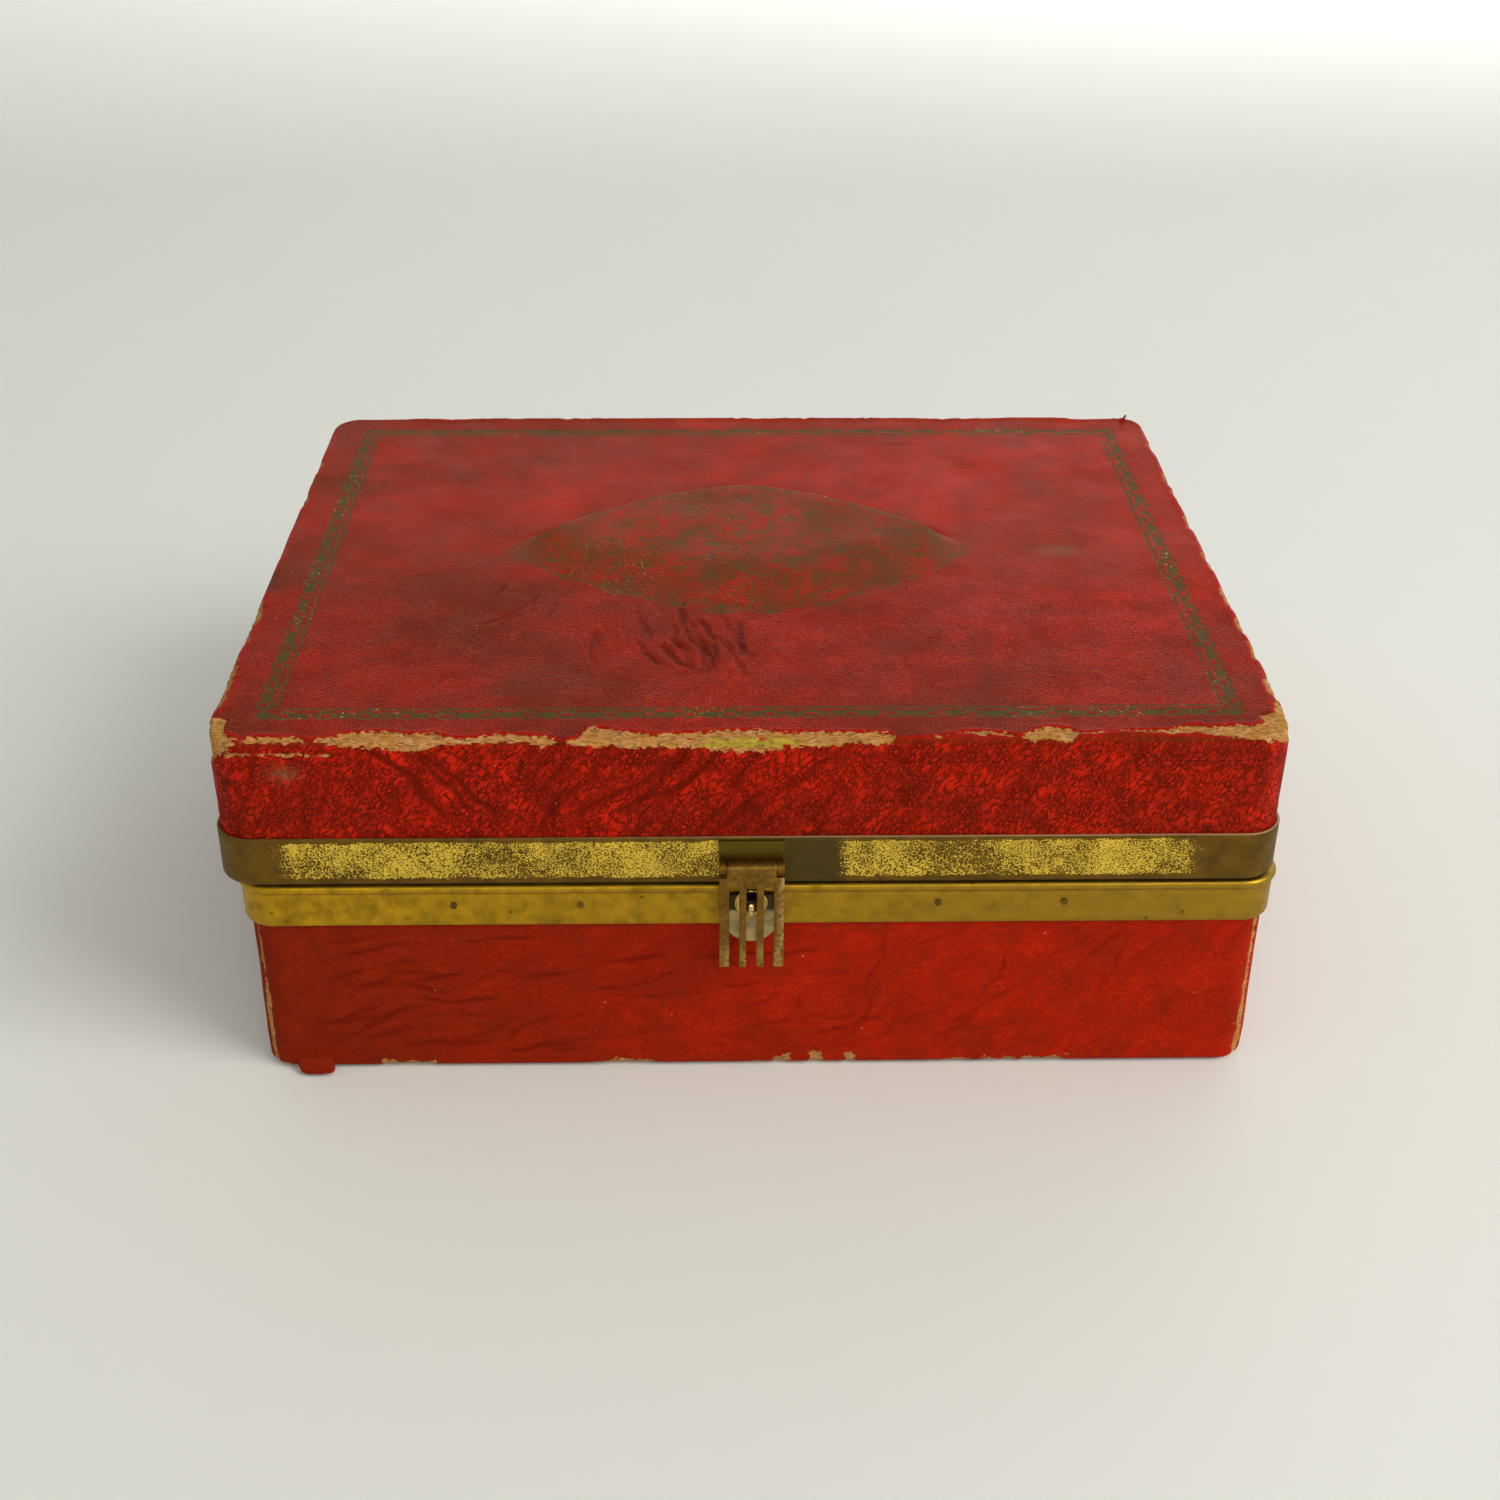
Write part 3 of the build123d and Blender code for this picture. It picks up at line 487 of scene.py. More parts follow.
def gilt_pattern(shader):
    """Shade of the tarnished gilt tooling on the lid, and where gold still shows."""
    low, high = box_mm("lid_leather_sides")
    middle, half = ([float(c * MM) for c in corner] for corner in ((low + high) / 2, (high - low) / 2))
    x, y, z = shader.axes()
    across = half[0] - abs(x - middle[0])
    deep = half[1] - abs(y)
    inset = across.min(deep) / MM
    turn = shader.node("Mix", {0: across.below(deep), 2: x, 3: y}) / (BORDER_PERIOD * MM)

    line = abs(inset - BORDER_LINE_IN).fit(0.28, 0.46, 1.0, 0.0)
    offset = inset - BORDER_BAND_IN
    wave = shader.math("SINE", turn * (2 * pi)) * 1.25
    vine = abs(offset - wave).fit(0.55, 0.85, 1.0, 0.0)
    leaf_x = ((turn + 0.25).fract() - 0.5) * (BORDER_PERIOD / 1.5)
    leaf = abs(shader.hypot(leaf_x, offset + 0.25) - 1.35).fit(0.36, 0.58, 1.0, 0.0)
    bud_x = ((turn + 0.75).fract() - 0.5) * (BORDER_PERIOD / 2.2)
    bud = shader.hypot(bud_x, offset).fit(1.0, 1.35, 1.0, 0.0)
    border = line.max(vine.max(leaf).max(bud)) * shader.noise(2.6, 3.0).fit(0.30, 0.47)

    on_top = z.fit(float((high[2] - 1.0) * MM), float(high[2] * MM))
    gold = shader.noise(0.8, 2.0).fit(0.64, 0.70) * shader.noise(24.0, 1.0).fit(0.50, 0.62)
    return border.max(medallion_scrolls(shader)) * on_top, gold


def medallion_scrolls(shader):
    """Spirals of tarnished gilt inside the medallion, and a worn line along its contour: gilt at the front,
    painted shade of the far slope along the back.
    """
    centre = shader.cells(10.5, output="Position", randomness=0.6)
    x, y, _ = shader.axes(shader.vector("SUBTRACT", shader.place, centre))
    turn = shader.math("ARCTAN2", y, x) / (2 * pi)
    spiral = (shader.hypot(x, y) / (2.9 * MM) + turn).fract()
    stroke = abs(spiral - 0.5).fit(0.12, 0.20, 1.0, 0.0)
    mottle = shader.noise(3.6, 3.0).fit(0.46, 0.60)
    cloud = shader.noise(9.0, 3.0).fit(0.36, 0.60)
    worn = shader.noise(6.0, 2.0).fit(0.36, 0.56, 0.15, 1.0)
    drawn = ((stroke * 0.75).max(mottle * 0.85) * worn).max(cloud * 0.42)
    edge = shader.attribute("contour") * shader.noise(5.0).fit(0.36, 0.50)
    return (drawn * shader.attribute("medallion")).max(edge)


def body_leather_material():
    shader = Shader("body leather", Specular_IOR_Level=0.025)
    grain = leather_grain(shader, 20, 0.6, 0.8).fit(0, 1, 0.60, 1.0)
    # Painted shade: the body's red darkens towards the left, away from the light.
    handling_and_shade = shader.axes()[0].fit(-0.12, 0.02, 0.92, 0.28)
    colour = leather_colour(shader, grain, shader.attribute("crease"), 0.22, 0.74, handling_and_shade)
    worn = (shader.attribute("torn") + (shader.noise(1.0, 3.0) - 0.5) * 2.4).fit(0.0, 0.25)
    colour = shader.mix(worn, colour, paper_colour(shader, 0.0))
    height = grain * (1.0 - worn) + shader.noise(0.35, 3.0) * 0.3
    rough = shader.noise(14.0, 3.0).fit(0.35, 0.7, 0.44, 0.60).max(worn * 0.9)
    return shader.finish(colour, Roughness=rough, Normal=shader.bump(height, 0.09, 0.8))


def rim_material(name, node, gold, brown, seed, speckle, rough, margins, fleck_size, soft, lit_edge, stain):
    """Brass sheet: gold flecks left on brown patina, scratches and dark pits.

    The flecks stop short of the sheet's lower and upper edges by the two margins. speckle is how far
    the flecks spread, and how far they are held back where the patina takes over. soft blurs them into
    clouds. lit_edge is the share of painted highlight along the upper edge, stronger to the right. stain
    is 1 where the patina takes over at the corners and beside the clasp, and 0 where it only dulls the right."""
    low, high = box_mm(node)
    shader = Shader(name, Specular_IOR_Level=0.5)
    moved = shader.vector("ADD", shader.place, (seed * 0.37, seed * 0.11, seed * 0.23))
    x, y, z = shader.axes()

    def around(value, start, centre, reach, *ends):
        """Fits a place to a step, reach to either side of start + centre in millimetres."""
        return value.fit(float((start + centre - reach) * MM), float((start + centre + reach) * MM), *ends)

    drift = shader.noise(11.0, 2.0, moved)
    fleck = shader.noise(fleck_size, 1.5, moved)
    edge_noise = (shader.noise(3.0, 3.0, moved) - 0.5) * (1.4 * MM)
    level = z + edge_noise
    above = around(level, low[2], margins[0], 0.5)
    below = around(level, high[2], -margins[1], 0.3, 1.0, 0.0)
    middle = float((low[0] + high[0]) / 2 * MM) - 0.0023
    reach = float((high[0] - low[0]) / 2 * MM)
    ends = (abs(x - middle) + edge_noise * 3.0).fit(reach - 0.020, reach - 0.011, 1.0, 0.0)
    wobble = x + edge_noise * 3.2 + (fleck - 0.5) * 0.006
    patch = wobble.fit(0.0050, 0.0060) * wobble.fit(0.0175, 0.0200, 1.0, 0.0)
    patch = patch * y.below(float((low[1] + 4) * MM))
    plain = (1.0 - above * below * (ends * (1.0 - patch))) * stain
    left = fleck + (drift - 0.5) * 0.42 - plain * speckle[1]
    bright = left.fit(0.5 - speckle[0] - soft, 0.56 - speckle[0] + soft)

    cloud = shader.noise(5.0, 3.0, moved).fit(0.35, 0.65)
    brown_tone = shader.mix(patch * (0.75 * stain), shader.mix(cloud, brown, dim(brown, 0.6)), DARK_PATINA)
    colour = shader.mix(bright, brown_tone, shader.mix(cloud, gold, dim(gold, 0.78)))
    colour = shader.mix(x.fit(-0.11, 0.07, 0.0, 0.7 * (1 - stain)), colour, DULL_BRASS)
    pit = shader.cells(6.5, at=moved).fit(0.04, 0.08, 1.0, 0.0)
    pit = pit.max(shader.cells(2.6, at=moved).fit(0.05, 0.09, 0.7, 0.0))
    colour = shader.mix(pit * 0.8, colour, PIT)
    # Painted highlight along the sheet's upper edge, stronger towards the right, where the light falls.
    edge_highlight = z.fit(float((high[2] - 0.20) * MM), float((high[2] - 0.08) * MM), 0.0, lit_edge)
    colour = shader.mix(edge_highlight * x.fit(-0.05, 0.02, 0.15, 1.0), colour, HIGHLIGHT_BRASS)
    scratch = shader.noise(1.2, 2.0, shader.stretched(0.08, 0.08, 2.2))
    return shader.finish(colour, Normal=shader.bump(bright * 0.5 + scratch * 0.5, 0.05, 0.5),
                         Roughness=bright.fit(0, 1, rough + 0.16, rough) + scratch.fit(0.3, 0.7, -0.05, 0.05),
                         Metallic=bright.fit(0, 1, 0.95 - 0.2 * stain, 0.95))


def metal_material(name, colour, worn, rough, upper=None):
    """Old brass or steel: clouded and finely scratched, with its worn attribute and specks paler.

    upper is a height in millimetres and the colour above it: painted shadow on the catch plate, a darker olive on
    the hasp's leaf."""
    shader = Shader(name, Metallic=0.9)
    tone = shader.mix(shader.noise(3.0, 4.0).fit(0.35, 0.65), colour, dim(colour, 0.55))
    rubbed = shader.attribute("worn") * shader.noise(1.1, 3.0).fit(0.34, 0.58)
    tone = shader.mix(rubbed.max(shader.noise(0.6, 3.0).fit(0.56, 0.64) * 0.22), tone, worn)
    if upper:
        height, patina = upper
        # Above the height the tone gives way to the given colour, which on the catch plate is painted shadow.
        above = shader.axes()[2].fit((height - 0.4) * MM, (height + 0.4) * MM, 0.0, 0.9)
        tone = shader.mix(above, tone, patina)
    scratch = shader.noise(0.8, 3.0, shader.stretched(1.0, 1.0, 0.15))
    return shader.finish(tone, Roughness=scratch.fit(0.3, 0.7, rough - 0.08, rough + 0.12),
                         Normal=shader.bump(scratch, 0.04, 0.5))


def cloth_material(name, colour, thread, sheen, rough, fuzz=0.0):
    """Woven satin, ribbon or short velvet: fine threads, faded in drifts."""
    shader = Shader(name, Specular_IOR_Level=0.35, Sheen_Weight=sheen, Sheen_Roughness=0.35,
                    Sheen_Tint=tuple(min(1.0, 2.2 * c) for c in colour))
    tone = shader.mix(shader.noise(34.0, 3.0).fit(0.36, 0.66), colour, dim(colour, 0.66))
    tone = shader.mix(shader.noise(7.0, 3.0).fit(0.60, 0.72, 0.0, 0.45), tone, dim(colour, 0.5))
    across = shader.noise(thread, 1.0, shader.stretched(1.0, 0.12, 0.12))
    along = shader.noise(thread, 1.0, shader.stretched(0.12, 1.0, 1.0))
    height = (across + along) * (1 - fuzz) + shader.noise(0.25, 3.0) * (fuzz * 2)
    tone = shader.mix(height.fit(0.7, 1.3, 0.25, 0.0), tone, dim(colour, 0.35))
    return shader.finish(tone, Roughness=rough, Normal=shader.bump(height, 0.08, 0.7))


def plain_stock_material(name, colour, fibre_colour, size):
    """Board, paper or wadding: matt, with fibres and flecks."""
    shader = Shader(name, Roughness=0.9, Specular_IOR_Level=0.2)
    fibre = shader.noise(size, 4.0, shader.stretched(1.0, 0.3, 1.0), 0.8)
    tone = shader.mix(shader.noise(12.0, 3.0).fit(0.35, 0.65), colour, dim(colour, 0.8))
    tone = shader.mix(fibre.fit(0.52, 0.66), tone, fibre_colour)
    return shader.finish(tone, Normal=shader.bump(fibre, 0.12, 0.6))


# ---- lid leather -----------------------------------------------------------------------------------

# Torn strip along the lid's front edge: place along X from the left end, how far it reaches over the
# top, and how far down the front. Between these places the boundary is ragged.
FRONT_TEAR = [
    (0, 5.0, 9.0), (3, 5.5, 4.0), (5, 1.0, 2.2), (8, -0.4, 0.4), (10, 2.0, 0.5), (19, 1.9, 0.5),
    (23, 0.2, 0.2), (28, 1.2, 0.5), (33, 3.2, 0.8), (40, 3.2, 1.6), (47, 2.8, 2.6), (50, 2.6, 1.4),
    (54, 0.9, 0.8), (58, 1.0, 1.2), (64, 2.6, 0.2), (71, 2.2, 0.6), (75, 1.5, 1.5), (78.5, -0.3, -0.2),
    (82, 0.5, 1.0), (84, 5.2, 1.2), (88, 4.8, 1.6), (91, 2.8, 1.8), (98, 2.0, 1.5), (106, 3.0, 2.0),
    (116, 3.7, 2.6), (122, 3.4, 2.8), (127, 2.8, 1.8), (133, 3.0, 1.6), (143, 2.6, 1.0), (150, 2.2, 0.9),
    (152, -0.4, -0.3), (160, 0.3, 0.1), (167, 3.0, -1.2), (175, 2.4, -1.0), (178, 0.4, -0.6),
    (184, 4.2, 0.9), (190, 3.8, 0.7), (192, 1.6, -1.0), (202, 3.0, -2.0), (212, 2.6, -1.2),
    (218, 5.2, -1.6), (221, 4.0, -0.8), (226, 4.6, -0.2), (231, 5.0, 1.2), (236, 7.0, 1.6), (240, 9.0, 4.0),
]
# Worn patches on the lid's other edges: place along the edge, half length, half width.
LEFT_PATCHES = [(-90, 4, 1.9), (-76, 4, 1.2), (-66, 9, 1.5), (-44, 6, 1.0), (-33, 8, 1.7), (2, 5, 0.7),
                (35, 6, 1.4), (59, 5, 1.2), (76, 3, 0.6)]
RIGHT_PATCHES = [(-87, 8, 2.4), (-72, 6, 1.5), (-56, 5, 1.3), (-42, 5, 1.0), (-26, 7, 1.3), (-6, 6, 1.1),
                 (18, 6, 1.2), (36, 4, 0.7), (48, 5, 1.1), (70, 4, 0.6)]
BACK_PATCHES = [(-84, 7, 1.4), (-40, 12, 0.8), (8, 9, 0.7), (62, 14, 0.9), (104, 8, 1.8)]
# Dull grey marks: centre, and how far each reaches along X, Y and Z.
DUSTY_PLACES = [(np.array([-105.0, -95.0, 84.2]), np.array([3.4, 4.0, 2.0])),
                (np.array([80.0, 1.0, 92.5]), np.array([6.0, 3.0, 4.0]))]
MEDALLION = (-61.5, 59.0, -34.5, 41.5)      # its left, right, front and back from the lid's middle
MEDALLION_WAIST = 2.0                       # place along Y of its two points
TORN_DEPTH = 0.55                           # paper under the torn leather
# Families of folds, as creases() takes them. In front of the medallion the leather puckers.
TOP_FOLDS = [
    (21, 26, (-40, -58, -4, -34), 98, 20, (12, 26), (0.5, 0.85), (0.18, 0.46)),
    (26, 22, (-60, -66, 44, -36), 95, 26, (8, 20), (0.5, 0.8), (0.05, 0.16)),
    (22, 14, (-72, -42, -44, -12), 66, 20, (8, 18), (0.5, 0.9), (0.10, 0.26)),
    (23, 26, (20, -84, 112, -40), 95, 22, (8, 22), (0.6, 1.0), (0.03, 0.09)),
    (24, 30, (-112, -84, 20, -50), 70, 60, (8, 18), (0.6, 1.0), (0.03, 0.08)),
    (25, 18, (-110, -20, 110, 84), 60, 70, (10, 26), (0.8, 1.4), (0.02, 0.07)),
]
LID_FRONT_FOLDS = [
    (31, 52, (-50, 69, 20, 90), 46, 12, (12, 32), (0.5, 0.9), (0.12, 0.36)),
    (32, 3, (-80, 78, -66, 84), -42, 8, (30, 44), (0.8, 1.1), (0.26, 0.38)),
    (33, 58, (12, 68, 118, 90), 64, 20, (8, 22), (0.5, 0.9), (0.08, 0.26)),
    (34, 34, (-121, 68, -84, 90), 80, 18, (8, 22), (0.5, 0.9), (0.08, 0.26)),
    (35, 24, (-90, 66, -40, 88), 58, 40, (9, 26), (0.5, 0.9), (0.08, 0.24)),
]
LID_SIDE_FOLDS = (70, (-115, 66, 115, 90), 60, 40, (8, 26), (0.6, 1.1), (0.06, 0.26))


def strip_distance(along, across, stations):
    """How far inside a strip each point is. across is positive over the top and negative down the side."""
    places = np.array(stations, float)
    upper = np.interp(along, places[:, 0], places[:, 1])
    lower = -np.interp(along, places[:, 0], places[:, 2])
    return np.minimum(upper - across, across - lower)


def patch_distance(along, across, patches):
    """How far inside the nearest of several oval patches each point is, about across = 0."""
    inside = np.full(len(along), UNTORN)
    for place, half_length, half_width in patches:
        reach = np.hypot((along - place) / half_length, across / half_width)
        inside = np.maximum(inside, np.minimum((1 - reach) * half_width, 2.0))
    return inside


def medallion_height(x, y):
    """The raised, pointed oval: its height as a share, and its signed distance in from the contour."""
    left, right, front, back = MEDALLION
    across = np.where(x < 0, x / left, x / right)
    bow = np.clip(1 - np.abs(across) ** 1.55, 0, None)
    y_back = MEDALLION_WAIST + (back - MEDALLION_WAIST) * bow ** 0.92
    y_front = MEDALLION_WAIST + (front - MEDALLION_WAIST) * bow ** 0.80
    scallop = 0.9 * np.cos(2 * pi * x / 13.5)
    inside = np.minimum(y_back - y, y - (y_front + scallop))
    inside = np.where(np.abs(across) < 1, inside, -np.abs(across) * 8)
    back_share = smoothstep(y_back - y, -0.9, 3.4)
    front_share = smoothstep(y - y_front, -2.0, 27.0)
    return back_share * front_share * smoothstep(1 - np.abs(across), -0.02, 0.22), inside


def lid_relief(points, edge):
    """Height along the normal and the shader's values for points on the lid's leather.

    edge is the distance over the top edge: positive in across the top, negative down a side."""
    low, high = box_mm("lid_leather_sides")
    x, y, z = points.T
    from_left, from_right = x - low[0], high[0] - x
    middle_x = (low[0] + high[0]) / 2
    on_top, on_side = edge > -1.0, edge < 1.5
    on_front = (y < low[1] + 3) & on_side

    top_share = smoothstep(edge, 0.5, 5)
    height = 0.16 * fractal(points, 34, 11) + 0.05 * fractal(points, 9, 12)
    rise, contour = medallion_height(x - middle_x, y)
    height += MEDALLION_RISE * rise * top_share
    behind = smoothstep(y, 4, 14) * top_share * smoothstep(np.abs(x - middle_x), 62, 54)
    height += (0.32 * bell(contour - 1.7, 1.3) - 0.42 * bell(contour + 1.5, 1.1)) * behind

    shade = np.zeros(len(points))
    along_x, along_y = np.column_stack([x, z]), np.column_stack([y, z])
    add_folds(height, shade, TOP_FOLDS, points[:, :2], top_share)
    add_folds(height, shade, LID_FRONT_FOLDS, along_x, on_front)
    back = (y > high[1] - 3) & on_side
    add_folds(height, shade, [(41, *LID_SIDE_FOLDS)], along_x, back)
    add_folds(height, shade, [(43, *LID_SIDE_FOLDS)], along_y, on_side & ~on_front & ~back)

    ragged = 0.55 * fractal(points, 2.4, 51, 3) + 0.5 * fractal(points, 7, 55, 2)
    torn = np.where(y < low[1] + 10, strip_distance(from_left, edge, FRONT_TEAR), UNTORN)
    for from_edge, patches, along in ((from_left, LEFT_PATCHES, y), (from_right, RIGHT_PATCHES, y),
                                      (high[1] - y, BACK_PATCHES, x)):
        torn = np.where(from_edge < 8, np.maximum(torn, patch_distance(along, edge, patches)), torn)
    torn = torn + 0.75 * ragged
    crack = np.minimum(0.30 - np.abs(edge + 3.3 + 0.25 * fractal(points, 6, 58, 2)), 1)
    crack = np.where((from_left > 4.5) & (from_left < 28) & (y < low[1] + 3), crack, UNTORN)
    torn = np.maximum(torn, crack + 0.35 * ragged)
    height -= TORN_DEPTH * smoothstep(torn, -0.1, 0.5)
    lip = bell(torn + 0.7, 0.8) * smoothstep(edge, -0.6, 0.8)
    height += 0.30 * lip

    from_end = np.minimum(from_left, from_right)
    corner = (from_end < 5) & (y < low[1] + 9)
    middle_strip = bell(from_left - 120, 13) * smoothstep(2.3 - np.abs(edge + 0.4), 0, 1.3)
    # Wear from handling, near the lid's front edge and its ends.
    handling_and_shade = bell(y - low[1], 26) * 0.35 + bell(from_end, 22) * 0.22
    dust_and_highlight = np.zeros(len(points))
    for centre, reach in DUSTY_PLACES:
        dust_and_highlight = np.maximum(dust_and_highlight, bell(np.hypot(*((points - centre) / reach).T[[0, 1]]), 1.0)
                          * bell((z - centre[2]) / reach[2], 1.0))
    # The front line is gilt; the dark line just outside the back contour is painted shade of the far slope.
    outline = bell(contour - 0.6, 0.75) * (y < 12) + 0.6 * bell(contour + 1.1, 0.7) * behind
    return height, {
        "crease": np.clip(shade, 0, 1),
        "torn": torn,
        "lip": np.clip(1.4 * lip, 0, 1),
        "straw": np.maximum(middle_strip, corner * bell(edge - 1.5, 4.0) * 0.42),
        # On the top this share is part soil and part painted shade: the top darker than the sides, and darker
        # towards the left.
        "soil_and_shade": np.where(on_top, 0.80 - 0.0011 * x + 0.4 * handling_and_shade, 0.16),
        "pebbled": np.where(on_top, 0.62 - 0.42 * smoothstep(y, -40, 8), 1.0),
        # Dust at the listed places, and a painted highlight on the medallion's back ridge.
        "dust_and_highlight": np.maximum(dust_and_highlight, 0.6 * bell(contour - 2.6, 2.2) * behind),
        "medallion": smoothstep(contour, -0.5, 1.0) * on_top,
        "contour": outline * on_top,
    }


def corner_mapped(positions, half, radius):
    """Bends the corners of a grid of points on a rectangle to the given radius."""
    points = positions.copy()
    inner = half - radius
    over = (np.abs(points) - inner) / radius
    in_corner = (over > 0).all(axis=1)
    u, v = over[in_corner].T
    round_u = u * np.sqrt(1 - v * v / 2)
    round_v = v * np.sqrt(1 - u * u / 2)
    points[in_corner] = np.sign(points[in_corner]) * (inner + radius * np.column_stack([round_u, round_v]))
    return points


def edge_distance(points, half, radius):
    """Distance in from a rounded rectangle's outline, for points inside it."""
    over = np.abs(points) - (half - radius)
    outside = np.hypot(np.maximum(over[:, 0], 0), np.maximum(over[:, 1], 0))
    return radius - outside - np.minimum(np.maximum(over[:, 0], over[:, 1]), 0)


def edge_normals(points, half, radius):
    """Outward normals at points on a rounded rectangle's outline."""
    over = np.maximum(np.abs(points) - (half - radius), 0)
    return np.sign(points) * over / np.hypot(over[:, 0], over[:, 1])[:, None]


def grid_lines(half, fine_from_low, fine_step):
    """Positions from -half to half: fine for a stretch at the low end, then at the usual step."""
    fine = np.arange(-half, -half + fine_from_low, fine_step)
    steps = round((half - fine[-1]) / GRID_STEP)
    return np.concatenate([fine[:-1], np.linspace(fine[-1], half, steps + 1)])


def make_lid_leather():
    """The lid's top leather, which turns over the edges, and the strip round its sides below it."""
    low, high = box_mm("lid_leather_sides")
    top_z = high[2] + TOP_LEATHER
    roll_z = top_z - LID_EDGE_R
    seam_z = top_z - SEAM_DOWN
    centre = (low + high)[:2] / 2
    flat_half = (high - low)[:2] / 2 - LID_EDGE_R
    flat_radius = LID_CORNER_R - LID_EDGE_R
    columns = grid_lines(flat_half[0], GRID_STEP, GRID_STEP)
    rows = grid_lines(flat_half[1], 7.0, FRONT_STEP)
    square = np.column_stack([line.ravel() for line in np.meshgrid(columns, rows)])
    flat = corner_mapped(square, flat_half, flat_radius)
    faces, boundary = grid_faces(len(columns), len(rows))
    outline = flat[boundary]
    out = edge_normals(outline, flat_half, flat_radius)
    roll = LID_EDGE_R * pi / 2
    count = len(boundary)

    points = [at_height(flat, top_z)]
    normals = [np.tile([0.0, 0.0, 1.0], (len(flat), 1))]
    edges = [edge_distance(flat, flat_half, flat_radius) + roll / 2]
    turns = [(sin(t), cos(t), t / (pi / 2) * roll) for t in np.radians(np.linspace(15, 90, 6))]
    levels = [(LID_EDGE_R * s, top_z - LID_EDGE_R * (1 - c), s, c, run) for s, c, run in turns]
    levels += [(LID_EDGE_R, z, 1.0, 0.0, roll + top_z - LID_EDGE_R - z)
               for z in np.linspace(roll_z, seam_z, 13)[1:]]
    for offset, z, sideways, upwards, run in levels:
        points.append(at_height(outline + out * offset, z))
        normals.append(at_height(out * sideways, upwards))
        edges.append(np.full(count, roll / 2 - run))
    points, normals, edges = np.vstack(points), np.vstack(normals), np.concatenate(edges)
    points[:, :2] += centre
    height, values = lid_relief(points, edges)
    points = np.vstack([points + normals * height[:, None],
                        at_height(outline + centre, seam_z), at_height(outline + centre, high[2])])
    loops = [boundary] + [[len(flat) + i for i in ring(k, count)] for k in range(len(levels) + 2)]
    for first, second in zip(loops, loops[1:]):
        faces += ring_faces(first, second)
    faces.append(tuple(reversed(loops[-1])))
    material = lid_leather_material()
    make_piece("lid_leather_over_top", points, faces, material, "lid",
               ["lid_leather_top"], values)

    outline = outline + out * LID_EDGE_R
    heights = np.linspace(seam_z, low[2], round((seam_z - low[2]) / GRID_STEP) + 1)
    points = np.vstack([at_height(outline + centre, z) for z in heights])
    normals = np.tile(at_height(out, 0.0), (len(heights), 1))
    height, values = lid_relief(points, np.repeat(-roll / 2 - (roll_z - heights), count))
    inner = outline - out * LEATHER + centre
    points = np.vstack([points + normals * height[:, None],
                        at_height(inner, heights[-1]), at_height(inner, heights[0])])
    make_piece("lid_leather_round_sides", points, wrapped_faces(len(heights) + 2, count), material,
               "lid", ["lid_leather_sides"], values)


# ---- body leather ----------------------------------------------------------------------------------

# Nicks along the bottom edge of the body's front: place along X, half length, height.
FRONT_NICKS = [(5, 1.6, 1.9), (14, 1.1, 2.6), (22, 1.5, 2.8), (58, 4, 0.8), (69, 5, 1.1), (-84, 6, 1.0),
               (-30, 3, 0.6)]
WORN_CORNERS = [(-1, -1, 0.9), (1, -1, 1.2), (-1, 1, 0.7), (1, 1, 1.0)]     # side in X, in Y, width
BODY_FRONT_FOLDS = [
    (71, 72, (-98, 6, -25, 40), 14, 20, (10, 34), (0.5, 0.9), (0.05, 0.30)),
    (72, 58, (-30, 6, 30, 40), 22, 34, (8, 26), (0.5, 0.85), (0.05, 0.26)),
    (73, 86, (20, 4, 116, 40), 46, 34, (8, 26), (0.5, 0.85), (0.04, 0.24)),
    (74, 12, (-117, 6, -95, 38), 60, 30, (8, 18), (0.5, 0.9), (0.04, 0.14)),
]
BODY_BACK_FOLDS = [(75, 60, (-116, 4, 116, 40), 25, 40, (12, 36), (0.8, 1.4), (0.06, 0.26))]
BODY_END_FOLDS = [(76, 50, (-92, 4, 92, 40), 35, 40, (12, 36), (0.8, 1.4), (0.06, 0.28))]


def body_relief(points, around_corner):
    """Height along the normal and the shader's values for points on the body's leather."""
    low, high = box_mm("body_leather")
    x, y, z = points.T
    height = 0.22 * fractal(points, 40, 61) + 0.05 * fractal(points, 9, 62)
    height *= smoothstep(z, low[2], low[2] + 6) * (1 - smoothstep(z, 40, 43))
    shade = np.zeros(len(points))
    front, back, upright = y < low[1] + 2, y > high[1] - 2, z > low[2] + 0.5
    along_x, along_y = np.column_stack([x, z]), np.column_stack([y, z])
    add_folds(height, shade, BODY_FRONT_FOLDS, along_x, front & upright)
    add_folds(height, shade, BODY_BACK_FOLDS, along_x, back & upright)
    add_folds(height, shade, BODY_END_FOLDS, along_y, ~front & ~back & upright)
    long_fold = front & (z > 5)
    fold_x = x[long_fold]
    line = z[long_fold] - (24 + 2.2 * np.sin(fold_x / 17) + 0.02 * fold_x)
    reach = bell(fold_x + 24, 22)
    height[long_fold] -= 0.28 * bell(line, 1.3) * reach
    shade[long_fold] = np.maximum(shade[long_fold], 0.5 * bell(line, 1.0) * reach)

    ragged = 0.8 * fractal(points, 2.6, 81, 3) + 0.6 * fractal(points, 9, 84, 2)
    torn = np.full(len(points), UNTORN)
    lower = 0.5 + 0.5 * smoothstep(36 - z, 0, 30)
    for side_x, side_y, width in WORN_CORNERS:
        here = (x * side_x > 0) & (y * side_y > 0)
        torn = np.where(here, np.maximum(torn, width * lower - around_corner), torn)
    for place, half_length, reach in FRONT_NICKS:
        nick = np.minimum(half_length - np.abs(x - place), low[2] + 0.4 + reach - z)
        torn = np.where(front, np.maximum(torn, nick * 0.8 + 0.3), torn)
    bottom = 0.55 - np.abs(z - low[2] - 0.4) + 0.9 * fractal(points, 16, 88, 2) - 0.7
    torn = np.maximum(torn, np.where(z < low[2] + 2, bottom, UNTORN)) + 0.7 * ragged
    height -= 0.35 * smoothstep(torn, 0, 0.7)
    return height, {"crease": np.clip(shade, 0, 1), "torn": torn}


